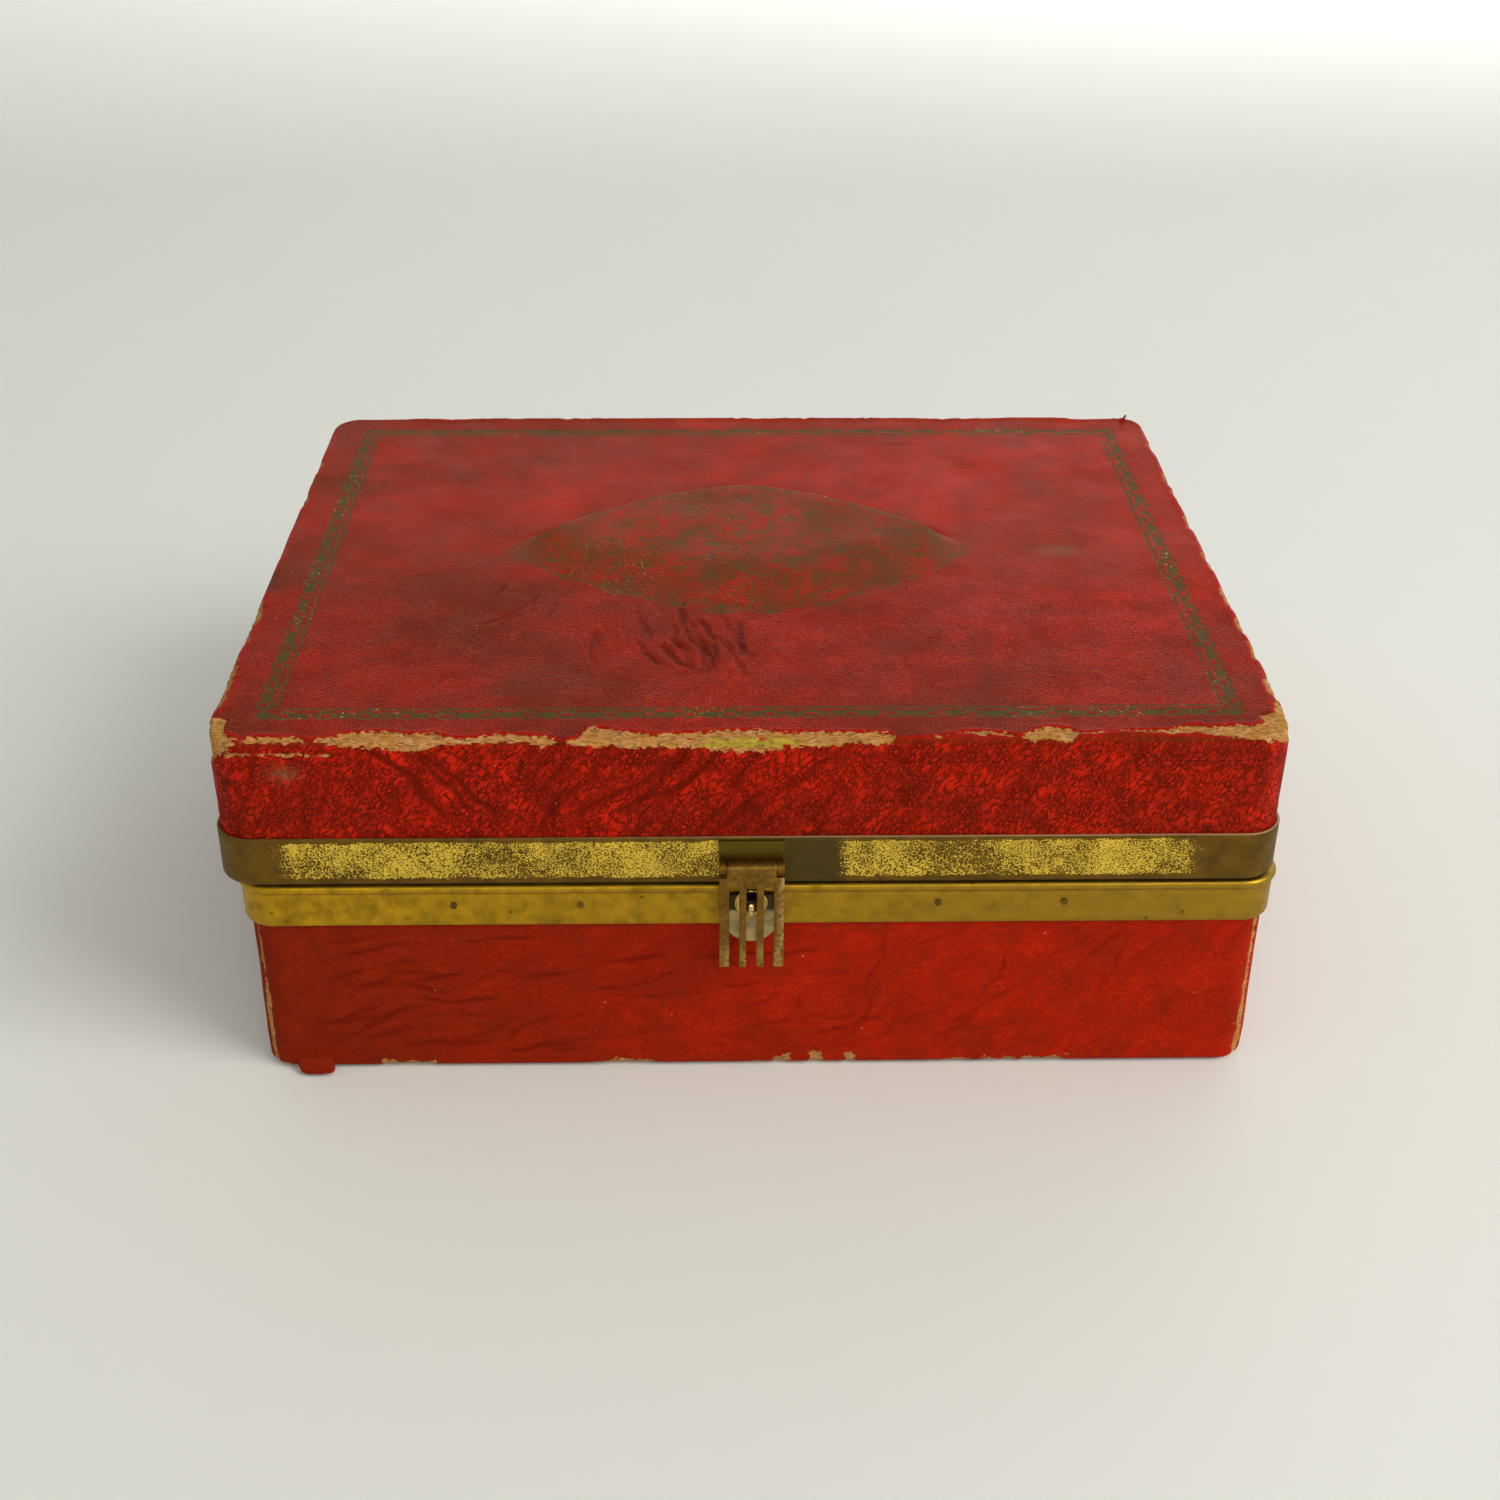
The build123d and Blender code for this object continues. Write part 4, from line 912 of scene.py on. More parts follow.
def make_body_leather():
    """The strip round the body, turned in under the base, with its inner side."""
    low, high = box_mm("body_leather")
    half = (high - low)[:2] / 2
    bottom = low[2]
    outline, out = rounded_loop(half[0], half[1], BODY_CORNER_R, GRID_STEP)
    levels = [(0.0, z, 1.0, 0.0) for z in np.linspace(high[2], bottom + BODY_EDGE_R, 64)]
    levels += [(-BODY_EDGE_R * (1 - cos(t)), bottom + BODY_EDGE_R * (1 - sin(t)), cos(t), -sin(t))
               for t in np.radians(np.linspace(15, 90, 6))]
    levels += [(-inward, bottom, 0.0, -1.0) for inward in (2.6, 4.0)]
    points = np.vstack([at_height(outline + out * offset, z) for offset, z, _, _ in levels])
    normals = np.vstack([at_height(out * sideways, up) for _, _, sideways, up in levels])
    corner = np.abs(np.abs(outline) - (half - BODY_CORNER_R * 0.29)).max(axis=1)
    from_corner = np.where((out != 0).all(axis=1), 0.0, corner)
    angle_off = np.abs(np.arctan2(np.abs(out[:, 1]), np.abs(out[:, 0])) - pi / 4) * BODY_CORNER_R
    around = np.where((np.abs(out) > 1e-6).all(axis=1), angle_off, 6 + from_corner)
    height, values = body_relief(points, np.tile(around, len(levels)))
    points = [points + normals * height[:, None]]
    inner_levels = [(-5.2, bottom), (-TURN_IN, bottom + 0.05), (-TURN_IN, bottom + LEATHER),
                    (-LEATHER - 1.0, bottom + LEATHER), (-LEATHER, bottom + LEATHER + 1.0),
                    (-LEATHER, high[2])]
    for offset, z in inner_levels:
        loop = outline + out * offset
        if BODY_CORNER_R + offset < TURN_IN_CORNER_R:
            straight = half - BODY_CORNER_R
            loop = np.clip(outline - out * BODY_CORNER_R, -straight, straight) + out * TURN_IN_CORNER_R
            loop = loop * ((half + offset) / (straight + TURN_IN_CORNER_R))
        points.append(at_height(loop, z))
    faces = wrapped_faces(len(levels) + len(inner_levels), len(outline))
    make_piece("body_leather_round", np.vstack(points), faces, body_leather_material(), "case_body",
               ["body_leather"], values)


def make_wadding():
    """Cotton wadding that raises the medallion, just under the top leather."""
    low, high = box_mm("lid_wadding")
    sides_low, sides_high = box_mm("lid_leather_sides")
    columns, rows = np.linspace(low[0], high[0], 118), np.linspace(low[1], high[1], 92)
    across, up = (line.ravel() for line in np.meshgrid(columns, rows))
    rise, _ = medallion_height(across - (sides_low[0] + sides_high[0]) / 2, up)
    inset = np.minimum.reduce([across - low[0], high[0] - across, up - low[1], high[1] - up])
    top = sides_high[2] + (MEDALLION_RISE * rise - 0.35) * smoothstep(inset, 0, 6)
    flat = np.column_stack([across, up])
    top += 0.1 * fractal(flat, 7, 91, 2) * smoothstep(inset, 0, 6)
    faces, boundary = grid_faces(len(columns), len(rows))
    lower = [len(flat) + k for k in range(len(boundary))]
    faces += ring_faces(boundary, lower) + [tuple(reversed(lower))]
    points = np.vstack([at_height(flat, top), at_height(flat[boundary], low[2])])
    material = plain_stock_material("cotton wadding", (0.76, 0.72, 0.62), (0.86, 0.83, 0.76), 1.6)
    make_piece("wadding_under_leather", points, faces, material, "lid", ["lid_wadding"])


# ---- brass rims ------------------------------------------------------------------------------------

def make_lid_rim():
    """The lid's brass channel: thin top edge, flat face, rolled lower edge, web and inner flange."""
    low, high = box_mm("lid_rim")
    bottom, top = low[2], high[2]
    inner = -(LID_RIM_SHEET + LEATHER + BOARD + RIM_INNER_SHEET)
    web = bottom + RIM_WEB
    flange = web + RIM_FLANGE
    profile = straight_profile((0, top - 0.25), (0.04, bottom + 2.6), 8)
    profile += arc_profile((-1.05, bottom + RIM_ROLL_R), RIM_ROLL_R, 10, -90, 8)
    profile += straight_profile((-1.6, bottom), (inner + RIM_INNER_R, bottom), 3)
    profile += arc_profile((inner + RIM_INNER_R, bottom + RIM_INNER_R), RIM_INNER_R, -90, -180, 4)
    profile += [(inner, flange - 0.2), (inner + 0.2, flange), (inner + 0.6, flange), (inner + 0.8, flange - 0.2),
                (inner + RIM_INNER_SHEET, web), (-LID_RIM_SHEET, web),
                (-LID_RIM_SHEET, top - 0.2), (-0.55, top), (-0.2, top)]
    points, faces = swept_rim((high - low)[:2] / 2, LID_CORNER_R + LID_RIM_SHEET, (low[0] + high[0]) / 2,
                              profile, 101, 0.10)
    material = rim_material("lid rim brass", "lid_rim", gold=(0.88, 0.61, 0.075), brown=(0.165, 0.086, 0.004),
                            seed=1, speckle=(0.030, 0.5), rough=0.42, margins=(1.7, 0.9), fleck_size=0.34,
                            soft=0.0, lit_edge=0.55, stain=1)
    make_piece("lid_rim_channel", points, faces, material, "lid", ["lid_rim"])


def make_body_rim():
    """The body's brass channel: flat face, groove, rolled bead, web and inner flange."""
    low, high = box_mm("body_rim")
    bottom, top = low[2], high[2]
    inner = -(BODY_RIM_SHEET + LEATHER + BOARD + RIM_INNER_SHEET)
    web = top - RIM_WEB
    flange = web - RIM_FLANGE
    bead_z = top - 1.25
    profile = arc_profile((-0.45, bead_z), RIM_ROLL_R, 80, -60, 10)
    profile += [(-0.08, bead_z - 1.35), (-0.12, bead_z - 1.6), (0.0, bead_z - 1.95)]
    profile += straight_profile((0.0, bead_z - 2.4), (0.0, bottom + 0.5), 7)
    profile += [(0.0, bottom + 0.3), (-0.15, bottom), (-0.9, bottom), (-BODY_RIM_SHEET, bottom + 0.3),
                (-BODY_RIM_SHEET, web), (inner + RIM_INNER_SHEET, web),
                (inner + RIM_INNER_SHEET, flange + 0.2), (inner + 0.6, flange), (inner + 0.2, flange),
                (inner, flange + 0.2)]
    profile += arc_profile((inner + RIM_INNER_R, top - RIM_INNER_R), RIM_INNER_R, 180, 90, 4)
    profile += straight_profile((inner + 1.5, top), (-0.6, top), 3)
    points, faces = swept_rim((high - low)[:2] / 2 - BODY_BEAD_PROUD, BODY_CORNER_R + BODY_RIM_SHEET, 0.0,
                              profile, 111, 0.07)
    material = rim_material("body rim brass", "body_rim", gold=(0.58, 0.33, 0.010), brown=(0.42, 0.24, 0.012),
                            seed=2, speckle=(0.09, 0.16), rough=0.40, margins=(0.4, 2.6), fleck_size=3.2,
                            soft=0.14, lit_edge=0.0, stain=0)
    make_piece("body_rim_channel", points, faces, material, "case_body", ["body_rim"])


# ---- clasp -----------------------------------------------------------------------------------------

HASP_OUTER_PRONG = 2.3
HASP_INNER_PRONG = 1.6
HASP_SLOT = 2.3
HASP_SLOT_LENGTH = 21.7
HASP_BARREL_R = 1.6
HASP_SHEET = 0.85
HASP_KNUCKLE = 1.75         # left free at each end of the barrel for the leaf's knuckles
HASP_BULGE = 0.65
HASP_BULGE_BELOW_AXIS = 3.5
HASP_WAIST = 0.1
HASP_FLARE = 0.95
LATHE_STEPS = 28


def make_hasp(material):
    """The comb: a plate that rolls round the pin at its top, bellies out and ends in four prongs."""
    low, high = box_mm("hasp")
    tip = low[2]
    axis_y, axis_z = (sum(box_mm("hasp_pin")) / 2)[1:]
    front = axis_y - HASP_BARREL_R
    slot_top = tip + HASP_SLOT_LENGTH
    knob_low, knob_high = box_mm("catch_knob")
    waist_z = ((knob_low[2] + knob_high[2]) / 2 + box_mm("catch_plate")[0][2]) / 2
    knot_z = [axis_z, axis_z - HASP_BULGE_BELOW_AXIS, waist_z, tip]
    knot_y = [front, front - HASP_BULGE, front - HASP_WAIST, front - HASP_FLARE]
    curve = np.polyfit(knot_z, knot_y, 3)
    turns = np.radians(np.linspace(-50, 165, 16))
    path = [(axis_y + HASP_BARREL_R * cos(t), axis_z + HASP_BARREL_R * sin(t), False) for t in turns]
    plate_z = np.concatenate([np.linspace(axis_z, slot_top, 9), np.linspace(slot_top, tip, 26)[1:]])
    path += [(np.polyval(curve, z), z, z <= slot_top - 0.01) for z in plate_z]

    lines = [low[0], low[0] + HASP_KNUCKLE, low[0] + HASP_OUTER_PRONG]
    for slot in range(3):
        start = lines[-1]
        lines += [start + share * HASP_SLOT for share in (0.08, 0.5, 0.92, 1)]
        if slot < 2:
            lines += [lines[-1] + HASP_INNER_PRONG / 2, lines[-1] + HASP_INNER_PRONG]
    lines = np.array(lines + [high[0] - HASP_KNUCKLE, high[0]])
    slot_starts = [low[0] + HASP_OUTER_PRONG + k * (HASP_SLOT + HASP_INNER_PRONG) for k in range(3)]

    wobble = np.random.default_rng(5).uniform(-0.07, 0.07, len(lines))
    points, worn = [], []
    for y, z, slotted in path:
        reach = smoothstep(slot_top - z, 0, 6) if slotted else 0.0
        tip_share = smoothstep(slot_top - z, 13, 21)
        for x, shift in zip(lines, wobble):
            points.append((x + shift * reach, y, z - (2 * abs(shift) if z == tip else 0)))
            # The right-most line is a painted highlight on the lit right edge; the prongs pale towards their tips
            # from wear.
            worn.append(0.95 if x == lines[-1] else 0.12 + 0.45 * tip_share)
    faces = []
    width = len(lines)
    for row, (upper, lower) in enumerate(zip(path, path[1:])):
        beside_barrel = (upper[1] + lower[1]) / 2 > axis_z - HASP_BARREL_R
        for column in range(width - 1):
            x = (lines[column] + lines[column + 1]) / 2
            in_slot = any(start < x < start + HASP_SLOT for start in slot_starts)
            at_knuckle = x < low[0] + HASP_KNUCKLE or x > high[0] - HASP_KNUCKLE
            if (in_slot and (upper[2] or lower[2])) or (at_knuckle and beside_barrel):
                continue
            first = row * width + column
            faces.append((first, first + width, first + width + 1, first + 1))
    piece = make_piece("comb_hasp", points, faces, material, "hasp", ["hasp"], {"worn": worn})
    drop_loose_points(piece.data)
    thicken(piece, HASP_SHEET, -1.0)
    break_edges(piece, 0.16)


def drop_loose_points(mesh):
    """Removes points that no face uses."""
    shape = bmesh.new()
    shape.from_mesh(mesh)
    bmesh.ops.delete(shape, geom=[v for v in shape.verts if not v.link_faces], context="VERTS")
    shape.to_mesh(mesh)
    shape.free()


def make_knob(material):
    """The stud: a turned ball on a collar, rubbed bright where the clip grips it."""
    low, high = box_mm("catch_knob")
    radius = (high[0] - low[0]) / 2
    x, y, z = (low[0] + high[0]) / 2, low[1] + radius, (low[2] + high[2]) / 2
    collar = box_mm("catch_plate")[0][1] - y
    outline = [(0.02, -radius)]
    outline += [(radius * sin(t), -radius * cos(t)) for t in np.radians(np.linspace(12, 142, 16))]
    outline += [(1.3, collar - 0.55), (3.4, collar - 0.45), (3.8, collar - 0.25), (3.8, collar),
                (1.0, collar + 0.02), (1.0, high[1] - y)]
    turns = [2 * pi * k / LATHE_STEPS for k in range(LATHE_STEPS)]
    points = [(x + r * cos(t), y + depth, z + r * sin(t)) for r, depth in outline for t in turns]
    worn = np.repeat([1.0 if depth < 0 else 0.3 for _, depth in outline], LATHE_STEPS)
    make_piece("stud", points, lathe_faces(len(outline), LATHE_STEPS), material, "case_body",
               ["catch_knob"], {"worn": worn})


# ---- padded pieces -----------------------------------------------------------------------------------

PANEL_STEP = 3.4            # spacing of a pad's points
PANEL_CLEAR = 0.3           # gap left round a pad
PANEL_PULL = 1.3            # how far a pad's sides draw in between its corners
PANEL_EDGE = 16.0           # width over which a pad swells from its seam to its full height
PANEL_SWELL = 0.8           # most that the simulation may move a pad's surface
ROLL_STEP = 2.2
ROLL_END = 4.5              # length of a roll's rounded end
ROLL_SWELL = 0.3
CLOTH_PRESSURE = 4.0
CLOTH_FRAMES = 20


def inflate(piece, glued, most):
    """Swells a closed form with cloth simulation, and holds each point within most of its place.

    glued are the points that stay on the board. The result is kept in the mesh."""
    group = piece.vertex_groups.new(name="glued")
    group.add([int(v) for v in glued], 1.0, "REPLACE")
    cloth = piece.modifiers.new("cloth", "CLOTH")
    cloth.settings.vertex_group_mass = "glued"
    cloth.settings.use_pressure = True
    cloth.settings.uniform_pressure_force = CLOTH_PRESSURE
    cloth.settings.shrink_min = -0.03
    cloth.settings.effector_weights.gravity = 0
    cloth.collision_settings.use_collision = False
    for number in range(1, CLOTH_FRAMES + 1):
        bpy.context.scene.frame_set(number)
    swollen = piece.evaluated_get(bpy.context.evaluated_depsgraph_get()).data
    before, after = np.zeros((2, len(piece.data.vertices) * 3))
    piece.data.vertices.foreach_get("co", before)
    swollen.vertices.foreach_get("co", after)
    move = (after - before).reshape(-1, 3) / MM
    length = np.linalg.norm(move, axis=1)[:, None] + 1e-9
    held = move / length * most * np.tanh(length / most)
    piece.data.vertices.foreach_set("co", (before.reshape(-1, 3) + held * MM).ravel())
    piece.modifiers.remove(cloth)
    piece.vertex_groups.remove(group)
    bpy.context.scene.frame_set(1)
    piece.data.update()


def make_panel(name, node, facing, body, material, seed):
    """An upholstered panel: flat where it is glued, crowned and gathered on the side it faces.

    facing is 1 for a panel that faces up and -1 for one that faces down."""
    low, high = box_mm(node)
    middle, half = (low + high) / 2, (high - low) / 2
    nx, ny = (round(2 * h / PANEL_STEP) + 1 for h in half[:2])
    u, v = (line.ravel() for line in np.meshgrid(np.linspace(-1, 1, nx), np.linspace(-1, 1, ny)))
    x = middle[0] + u * (half[0] - PANEL_CLEAR - PANEL_PULL * (1 - v ** 2))
    y = middle[1] + v * (half[1] - PANEL_CLEAR - PANEL_PULL * (1 - u ** 2))
    flat = np.column_stack([x, y])
    from_x, from_y = (1 - np.abs(u)) * half[0], (1 - np.abs(v)) * half[1]
    inset = np.minimum(from_x, from_y)
    along = np.where(from_x < from_y, y, x)
    swell = 1 - (1 - np.clip(inset / PANEL_EDGE, 0, 1)) ** 2.4
    gathers = 0.34 * np.sin(along / 1.9 + 2.2 * fractal(flat, 22, seed, 2))
    gathers *= bell(inset - 4.5, 5.0) * smoothstep(inset, 0, 2.5)
    rise = 2 * half[2] * (0.30 + 0.50 * swell) + gathers + 0.22 * swell * fractal(flat, 36, seed + 3, 2)
    back = middle[2] - facing * half[2]
    quads, edge = grid_faces(nx, ny)
    under = [tuple(nx * ny + k for k in reversed(quad)) for quad in quads]
    faces = quads + under + ring_faces(edge, [nx * ny + k for k in edge])
    if facing < 0:
        faces = [tuple(reversed(face)) for face in faces]
    points = np.vstack([at_height(flat, back + facing * rise), at_height(flat, back)])
    piece = make_piece(name, points, faces, material, body, [node])
    inflate(piece, list(ring(1, nx * ny)) + edge, PANEL_SWELL)
    soften(piece)


def make_ring_roll(number, material):
    """A padded roll for rings: flat under, straight at the sides, round on top, with domed ends."""
    low, high = box_mm(f"ring_roll_{number}")
    middle_y, length = (low[1] + high[1]) / 2, high[0] - low[0]
    radius = (high[1] - low[1]) / 2 - 0.25
    flank = np.linspace(low[2], high[2] - radius - 0.5, 4)
    outline = [(-radius + 0.35 * (k == 0), z) for k, z in enumerate(flank)]
    outline += [(-radius * cos(t), flank[-1] + radius * sin(t)) for t in np.radians(np.linspace(0, 180, 11))[1:-1]]
    outline += [(-y, z) for y, z in reversed(outline[:4])]
    outline += [(radius * s, low[2]) for s in (0.6, 0.2, -0.2, -0.6)]
    ends = np.array([0.0, 0.08, 0.3, 0.62, 1.0]) * ROLL_END
    stations = np.concatenate([ends, np.arange(ROLL_END, length - ROLL_END, ROLL_STEP)[1:], length - ends[::-1]])
    puckers = np.random.default_rng(200 + number).uniform(-0.12, 0.12, len(stations))
    base = np.array([0.0, low[2]])
    points = []
    for station, pucker in zip(stations, puckers):
        share = min(1.0, min(station, length - station) / ROLL_END)
        size = 0.52 + 0.48 * (1 - (1 - share) ** 2.2) ** 0.5
        section = base + (np.array(outline) - base) * size * (1 + 0.1 * pucker)
        points += [(low[0] + station, middle_y + y, z) for y, z in section]
    points = np.array(points)
    piece = make_piece(f"padded_ring_roll_{number}", points, lathe_faces(len(stations), len(outline)),
                       material, "tray", [f"ring_roll_{number}"])
    inflate(piece, np.nonzero(points[:, 2] < low[2] + 0.01)[0], ROLL_SWELL)
    soften(piece)


def make_ribbon_tabs(material):
    """Two loops of ribbon, one at each end of the tray, to lift it by."""
    low, high = box_mm("tray_tabs")
    bottom, top = low[2], high[2]
    reach = [(0.30, bottom), (0.30, top - 8), (0.10, top - 5), (-0.35, top - 2.6), (-0.20, top - 0.9),
             (0.60, top - 0.25), (1.50, top - 1.0), (1.75, top - 2.8), (1.35, top - 6), (0.85, top - 10),
             (0.80, bottom + 0.6)]
    across = np.linspace(low[1], high[1], 15)
    points, faces = [], []
    for side in (-1, 1):
        wall = high[0] if side > 0 else -low[0]
        quads, _ = grid_faces(len(across), len(reach))
        quads = [tuple(len(points) + k for k in quad) for quad in quads]
        faces += quads if side > 0 else [tuple(reversed(quad)) for quad in quads]
        for k, (inward, z) in enumerate(reach):
            free = smoothstep(z, bottom + 9, top - 2)
            for y in across:
                curl = free * (0.35 * sin((y - low[1]) / 3.1 + side) + 0.5 * ((y - low[1]) / 14 - 0.5) ** 2)
                points.append((side * (wall - inward - curl), y + 0.3 * free * sin(k), z))
    piece = make_piece("ribbon_tabs", points, faces, material, "tray", ["tray_tabs"])
    thicken(piece, 0.35)
    soften(piece)


# ---- torn scraps -------------------------------------------------------------------------------------

SCRAP_COLUMNS = 6


def make_scrap(name, path, across, widths, body, material, attributes):
    """A scrap of torn leather: a strip along path whose ragged width lies along across."""
    rng = np.random.default_rng(len(name))
    points = []
    for place, width in zip(np.array(path, float), widths):
        for share in np.linspace(-0.5, 0.5, SCRAP_COLUMNS):
            points.append(place + np.array(across) * width * share + rng.uniform(-0.13, 0.13, 3))
    faces, _ = grid_faces(SCRAP_COLUMNS, len(path))
    values = {key: np.full(len(points), value) for key, value in attributes.items()}
    piece = make_piece(name, points, faces, bpy.data.materials[material], body, attributes=values)
    thicken(piece, 0.55)
    soften(piece)


def make_scraps():
    """The torn peak at the lid's back right corner and the curled flap at the body's front left foot."""
    right, back, _ = box_mm("lid_leather_top")[1]
    top = box_mm("lid_leather_sides")[1][2] + TOP_LEATHER
    peak = [(-6.5, -3.1, -0.9), (-5.6, -3.2, 0.0), (-5.0, -3.4, 0.8), (-4.7, -3.7, 1.5), (-4.6, -3.9, 2.1)]
    peak = [(right + x, back + y, top + z) for x, y, z in peak]
    make_scrap("torn_peak", peak, (0.45, 0.89, 0.0), (4.4, 3.8, 2.8, 1.7, 0.5), "lid",
               "lid leather", {"torn": UNTORN, "lip": 0.2, "pebbled": 0.5, "soil_and_shade": 0.6})
    left, front, bottom = box_mm("body_leather")[0]
    flap = [(0.35, 2.9), (-0.35, 2.2), (-1.2, 1.5), (-2.1, 0.9), (-2.9, 0.55), (-3.4, 0.75)]
    flap = [(left + 11.5 + 0.4 * k, front + y, bottom + z) for k, (y, z) in enumerate(flap)]
    make_scrap("curled_flap", flap, (1.0, 0.0, 0.05), (7.2, 9.4, 8.6, 8.8, 7.4, 4.6), "case_body",
               "body leather", {"torn": UNTORN, "crease": 0.05})


# ---- stage, light and camera -----------------------------------------------------------------------

# The paper sweep in metres: radius of its flat floor, of its curve up, height of its wall, and spokes.
FLOOR_R, SWEEP_R, WALL_HEIGHT, SPOKES = 1.9, 1.1, 2.6, 96


def make_stage():
    """A round paper sweep: flat floor that curves up to a low wall all the way round."""
    profile = [(r, 0.0) for r in (0.02, 0.5, 1.0, FLOOR_R)]
    profile += [(FLOOR_R + SWEEP_R * sin(t), SWEEP_R * (1 - cos(t))) for t in np.radians(np.linspace(8, 90, 14))]
    profile += [(FLOOR_R + SWEEP_R, WALL_HEIGHT)]
    turns = [2 * pi * k / SPOKES for k in range(SPOKES)]
    mesh = bpy.data.meshes.new("paper_sweep")
    mesh.from_pydata([(r * cos(t), r * sin(t), z) for r, z in profile for t in turns], [],
                     lathe_faces(len(profile), SPOKES, closed=False))
    mesh.shade_smooth()
    shader = Shader("studio paper", Roughness=0.75, Specular_IOR_Level=0.25)
    tone = shader.mix(shader.noise(600.0, 2.0).fit(0.3, 0.7), (0.80, 0.79, 0.745), (0.775, 0.765, 0.72))
    mesh.materials.append(shader.finish(tone, Normal=shader.bump(shader.noise(1.5, 2.0), 0.02, 0.2)))
    paper = bpy.data.objects.new("paper_sweep", mesh)
    bpy.context.collection.objects.link(paper)


def add_softbox(name, place, aim, size, power, colour):
    light = bpy.data.lights.new(name, "AREA")
    light.shape = "RECTANGLE"
    light.size, light.size_y = size
    light.energy = power
    light.color = colour
    lamp = bpy.data.objects.new(name, light)
    lamp.location = place
    lamp.rotation_euler = (Vector(aim) - Vector(place)).to_track_quat("-Z", "Y").to_euler()
    bpy.context.collection.objects.link(lamp)


def make_lights():
    """A large softbox to the right, a weaker one in front, one on the backdrop and a dim room."""
    add_softbox("key_softbox", (1.40, -0.85, 1.40), (0.0, 0.0, 0.05), (1.2, 1.2), 27.0, (1.0, 0.99, 0.96))
    add_softbox("front_softbox", (0.1, -1.5, 1.1), (0.0, 0.0, 0.05), (1.4, 0.8), 6.0, (1.0, 0.97, 0.92))
    add_softbox("backdrop_softbox", (0.8, 1.5, 1.5), (0.8, 3.0, 0.7), (1.6, 0.6), 50.0, (0.97, 0.99, 1.0))
    world = bpy.data.worlds.new("studio")
    world.use_nodes = True
    background = world.node_tree.nodes["Background"]
    background.inputs["Color"].default_value = (0.92, 0.97, 1.0, 1.0)
    background.inputs["Strength"].default_value = 0.40
    bpy.context.scene.world = world
    bpy.context.scene.view_settings.view_transform = "Standard"


def make_camera():
    """A 48 mm lens on a 36 mm frame, a little above and in front of the case."""
    camera = bpy.data.cameras.new("camera")
    camera.lens = 47.77
    camera.sensor_width = 36.0
    camera.shift_y = -0.011
    camera.clip_start = 0.01
    holder = bpy.data.objects.new("camera", camera)
    turn = Matrix.Rotation(radians(-1.30), 4, "Z")
    tilt = Matrix.Rotation(radians(90 - 30.39), 4, "X")
    roll = Matrix.Rotation(radians(0.38), 4, "Z")
    holder.matrix_world = Matrix.Translation((-0.01098, -0.46842, 0.31302)) @ turn @ tilt @ roll
    bpy.context.collection.objects.link(holder)
    bpy.context.scene.camera = holder


# ---- CAD nodes that stay -------------------------------------------------------------------------

# Width of the broken edges on the CAD nodes that stay, for the slots that aren't thin metal.
EDGE_WIDTHS = {"strawboard": 0.35, "base_paper": 0.08, "lining_satin": 0.55, "ledge_card": 0.5,
               "tray_velvet": 0.7}
METAL_EDGE_WIDTH = 0.12
BURGUNDY = (0.16, 0.012, 0.02)


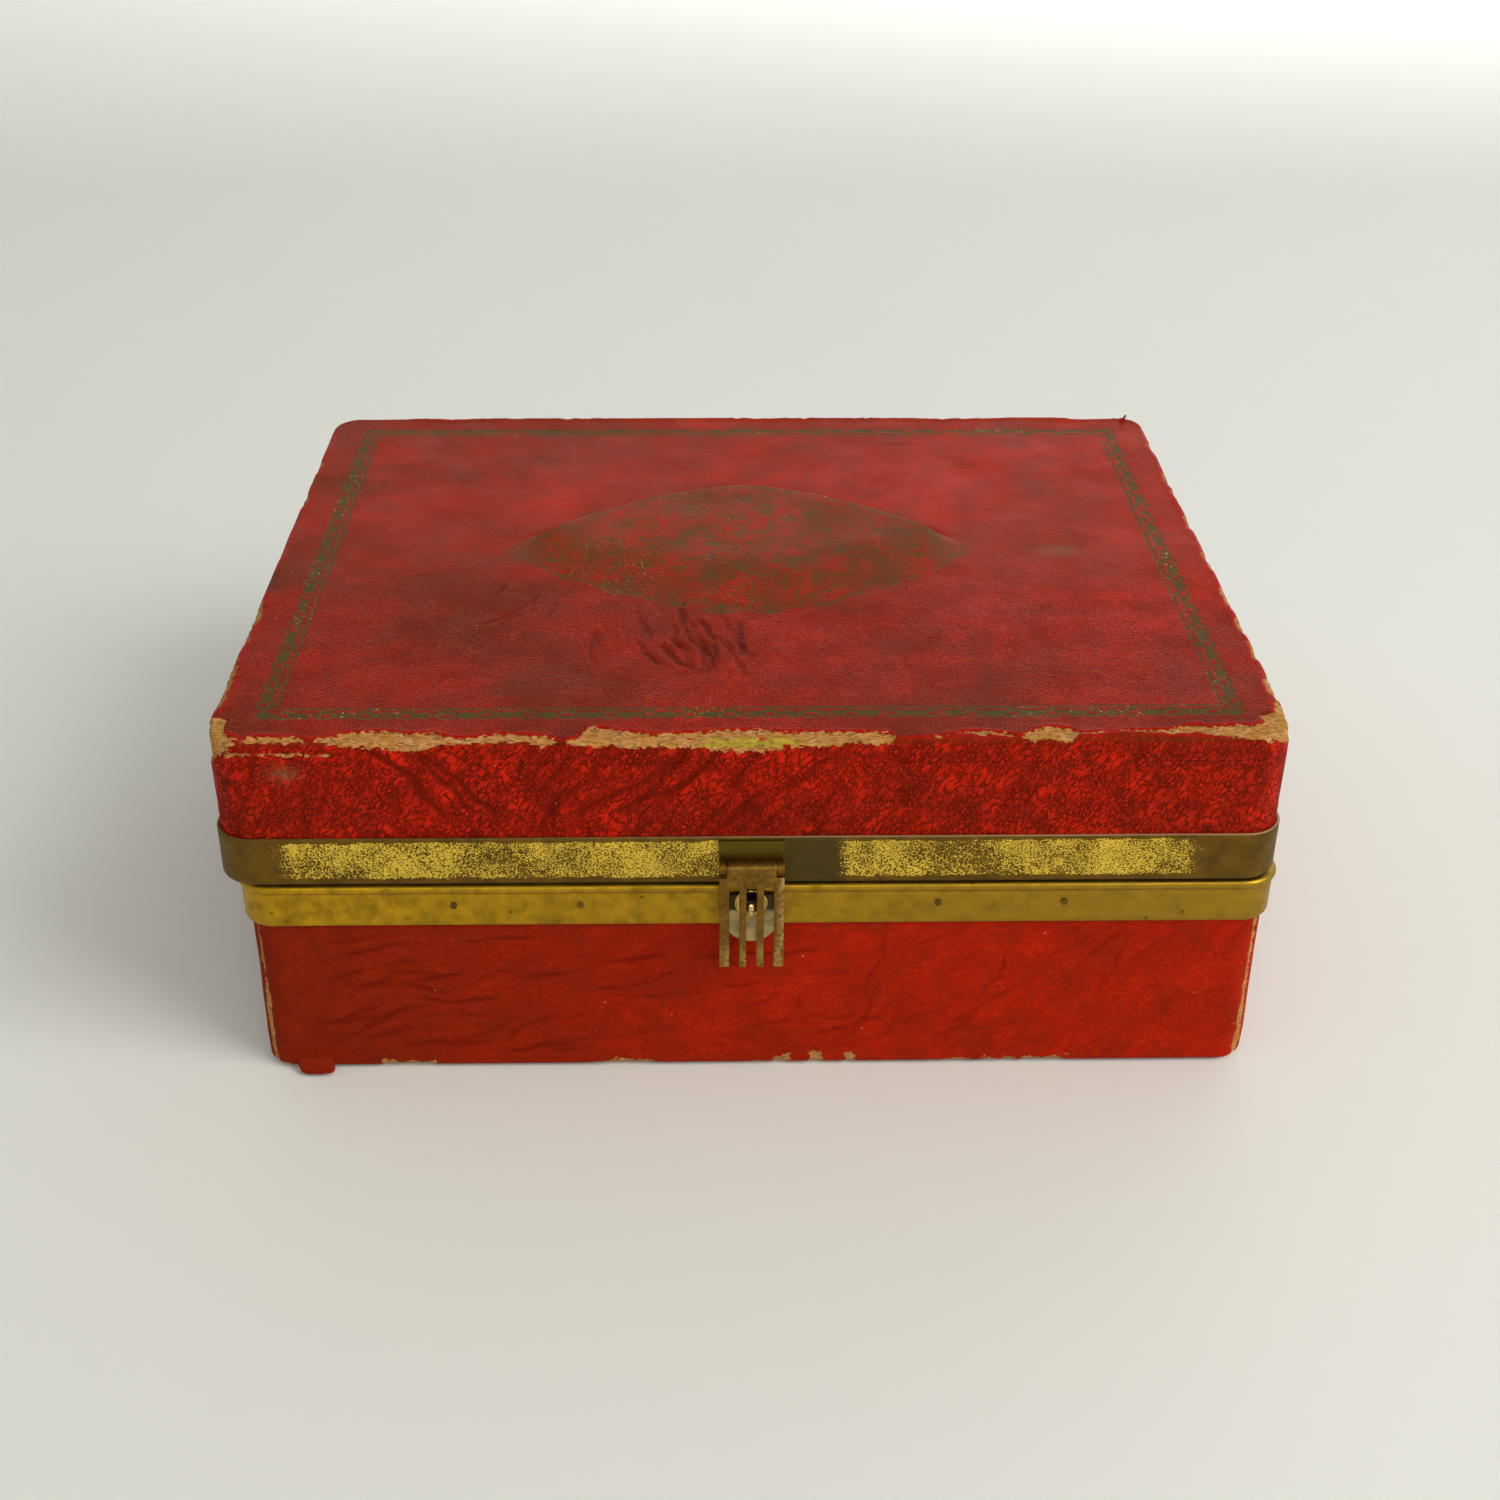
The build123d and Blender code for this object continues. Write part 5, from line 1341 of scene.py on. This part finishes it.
def slot_materials():
    """A material for each slot that a CAD node still shows, and for the clip and the hasp's leaf."""
    plain, metal, cloth = plain_stock_material, metal_material, cloth_material
    over_leaf = float(box_mm("hasp")[1][2]) + 0.2, (0.115, 0.085, 0.008)
    # Above the stud's lower edge the catch plate is painted near-black: painted shadow of the hasp and its clip.
    shadow_over_plate = float(box_mm("catch_knob")[0][2]) + 0.3, (0.035, 0.020, 0.005)
    return {
        "strawboard": plain("strawboard", (0.52, 0.42, 0.22), (0.34, 0.25, 0.10), 1.0),
        "base_paper": plain("base paper", (0.10, 0.03, 0.025), (0.16, 0.07, 0.05), 0.6),
        "pin_brass": metal("pin brass", (0.18, 0.10, 0.015), (0.50, 0.34, 0.1), 0.42),
        "hinge_brass": metal("hinge brass", (0.46, 0.28, 0.05), (0.74, 0.50, 0.14), 0.36),
        "clasp_bronze": metal("clasp bronze", (0.21, 0.095, 0.005), (0.56, 0.36, 0.11), 0.34),
        "hasp_leaf": metal("leaf brass", (0.21, 0.095, 0.005), (0.34, 0.24, 0.04), 0.42, over_leaf),
        "catch_brass": metal("catch brass", (0.60, 0.48, 0.20), (0.72, 0.62, 0.34), 0.5, shadow_over_plate),
        "knob_brass": metal("knob brass", (0.78, 0.50, 0.09), (1.0, 0.78, 0.32), 0.17),
        # The clip's near-black colour is painted shade: it sits in the hasp's shadow.
        "hasp_clip": metal("dark clip", (0.045, 0.030, 0.014), (0.20, 0.14, 0.07), 0.5),
        "pin_steel": metal("pin steel", (0.36, 0.35, 0.33), (0.60, 0.58, 0.55), 0.30),
        "lining_satin": cloth("gold satin", (0.52, 0.37, 0.19), 0.22, 0.35, 0.38),
        "ledge_card": cloth("covered card", BURGUNDY, 0.3, 0.5, 0.8, 1.0),
        "tray_velvet": cloth("tray velvet", BURGUNDY, 0.3, 0.6, 0.85, 1.0),
        "ring_velvet": cloth("ring velvet", (0.19, 0.014, 0.024), 0.3, 0.6, 0.85, 1.0),
        "ribbon": cloth("ribbon", (0.50, 0.35, 0.17), 0.18, 0.3, 0.45),
    }


def dress_cad_nodes(materials):
    """Gives every CAD node that still shows its slot's material and softly broken edges."""
    for part in frame["record"]["subparts"]:
        node, slot = frame["nodes"][part["node"]], part["material_slot"]
        if node.hide_render or slot not in materials:
            continue
        node.data.materials.clear()
        node.data.materials.append(materials.get(part["node"], materials[slot]))
        break_edges(node, EDGE_WIDTHS.get(slot, METAL_EDGE_WIDTH))


make_stage()
make_lights()
make_camera()
materials = slot_materials()
make_lid_leather()
make_wadding()
make_body_leather()
make_lid_rim()
make_body_rim()
make_hasp(materials["clasp_bronze"])
make_knob(materials["knob_brass"])
make_scraps()
make_panel("floor_pad_satin", "floor_pad", 1, "case_body", materials["lining_satin"], 301)
make_panel("lid_pad_satin", "lid_pad", -1, "lid", materials["lining_satin"], 311)
for roll_number in range(1, 6):
    make_ring_roll(roll_number, materials["ring_velvet"])
make_ribbon_tabs(materials["ribbon"])
dress_cad_nodes(materials)
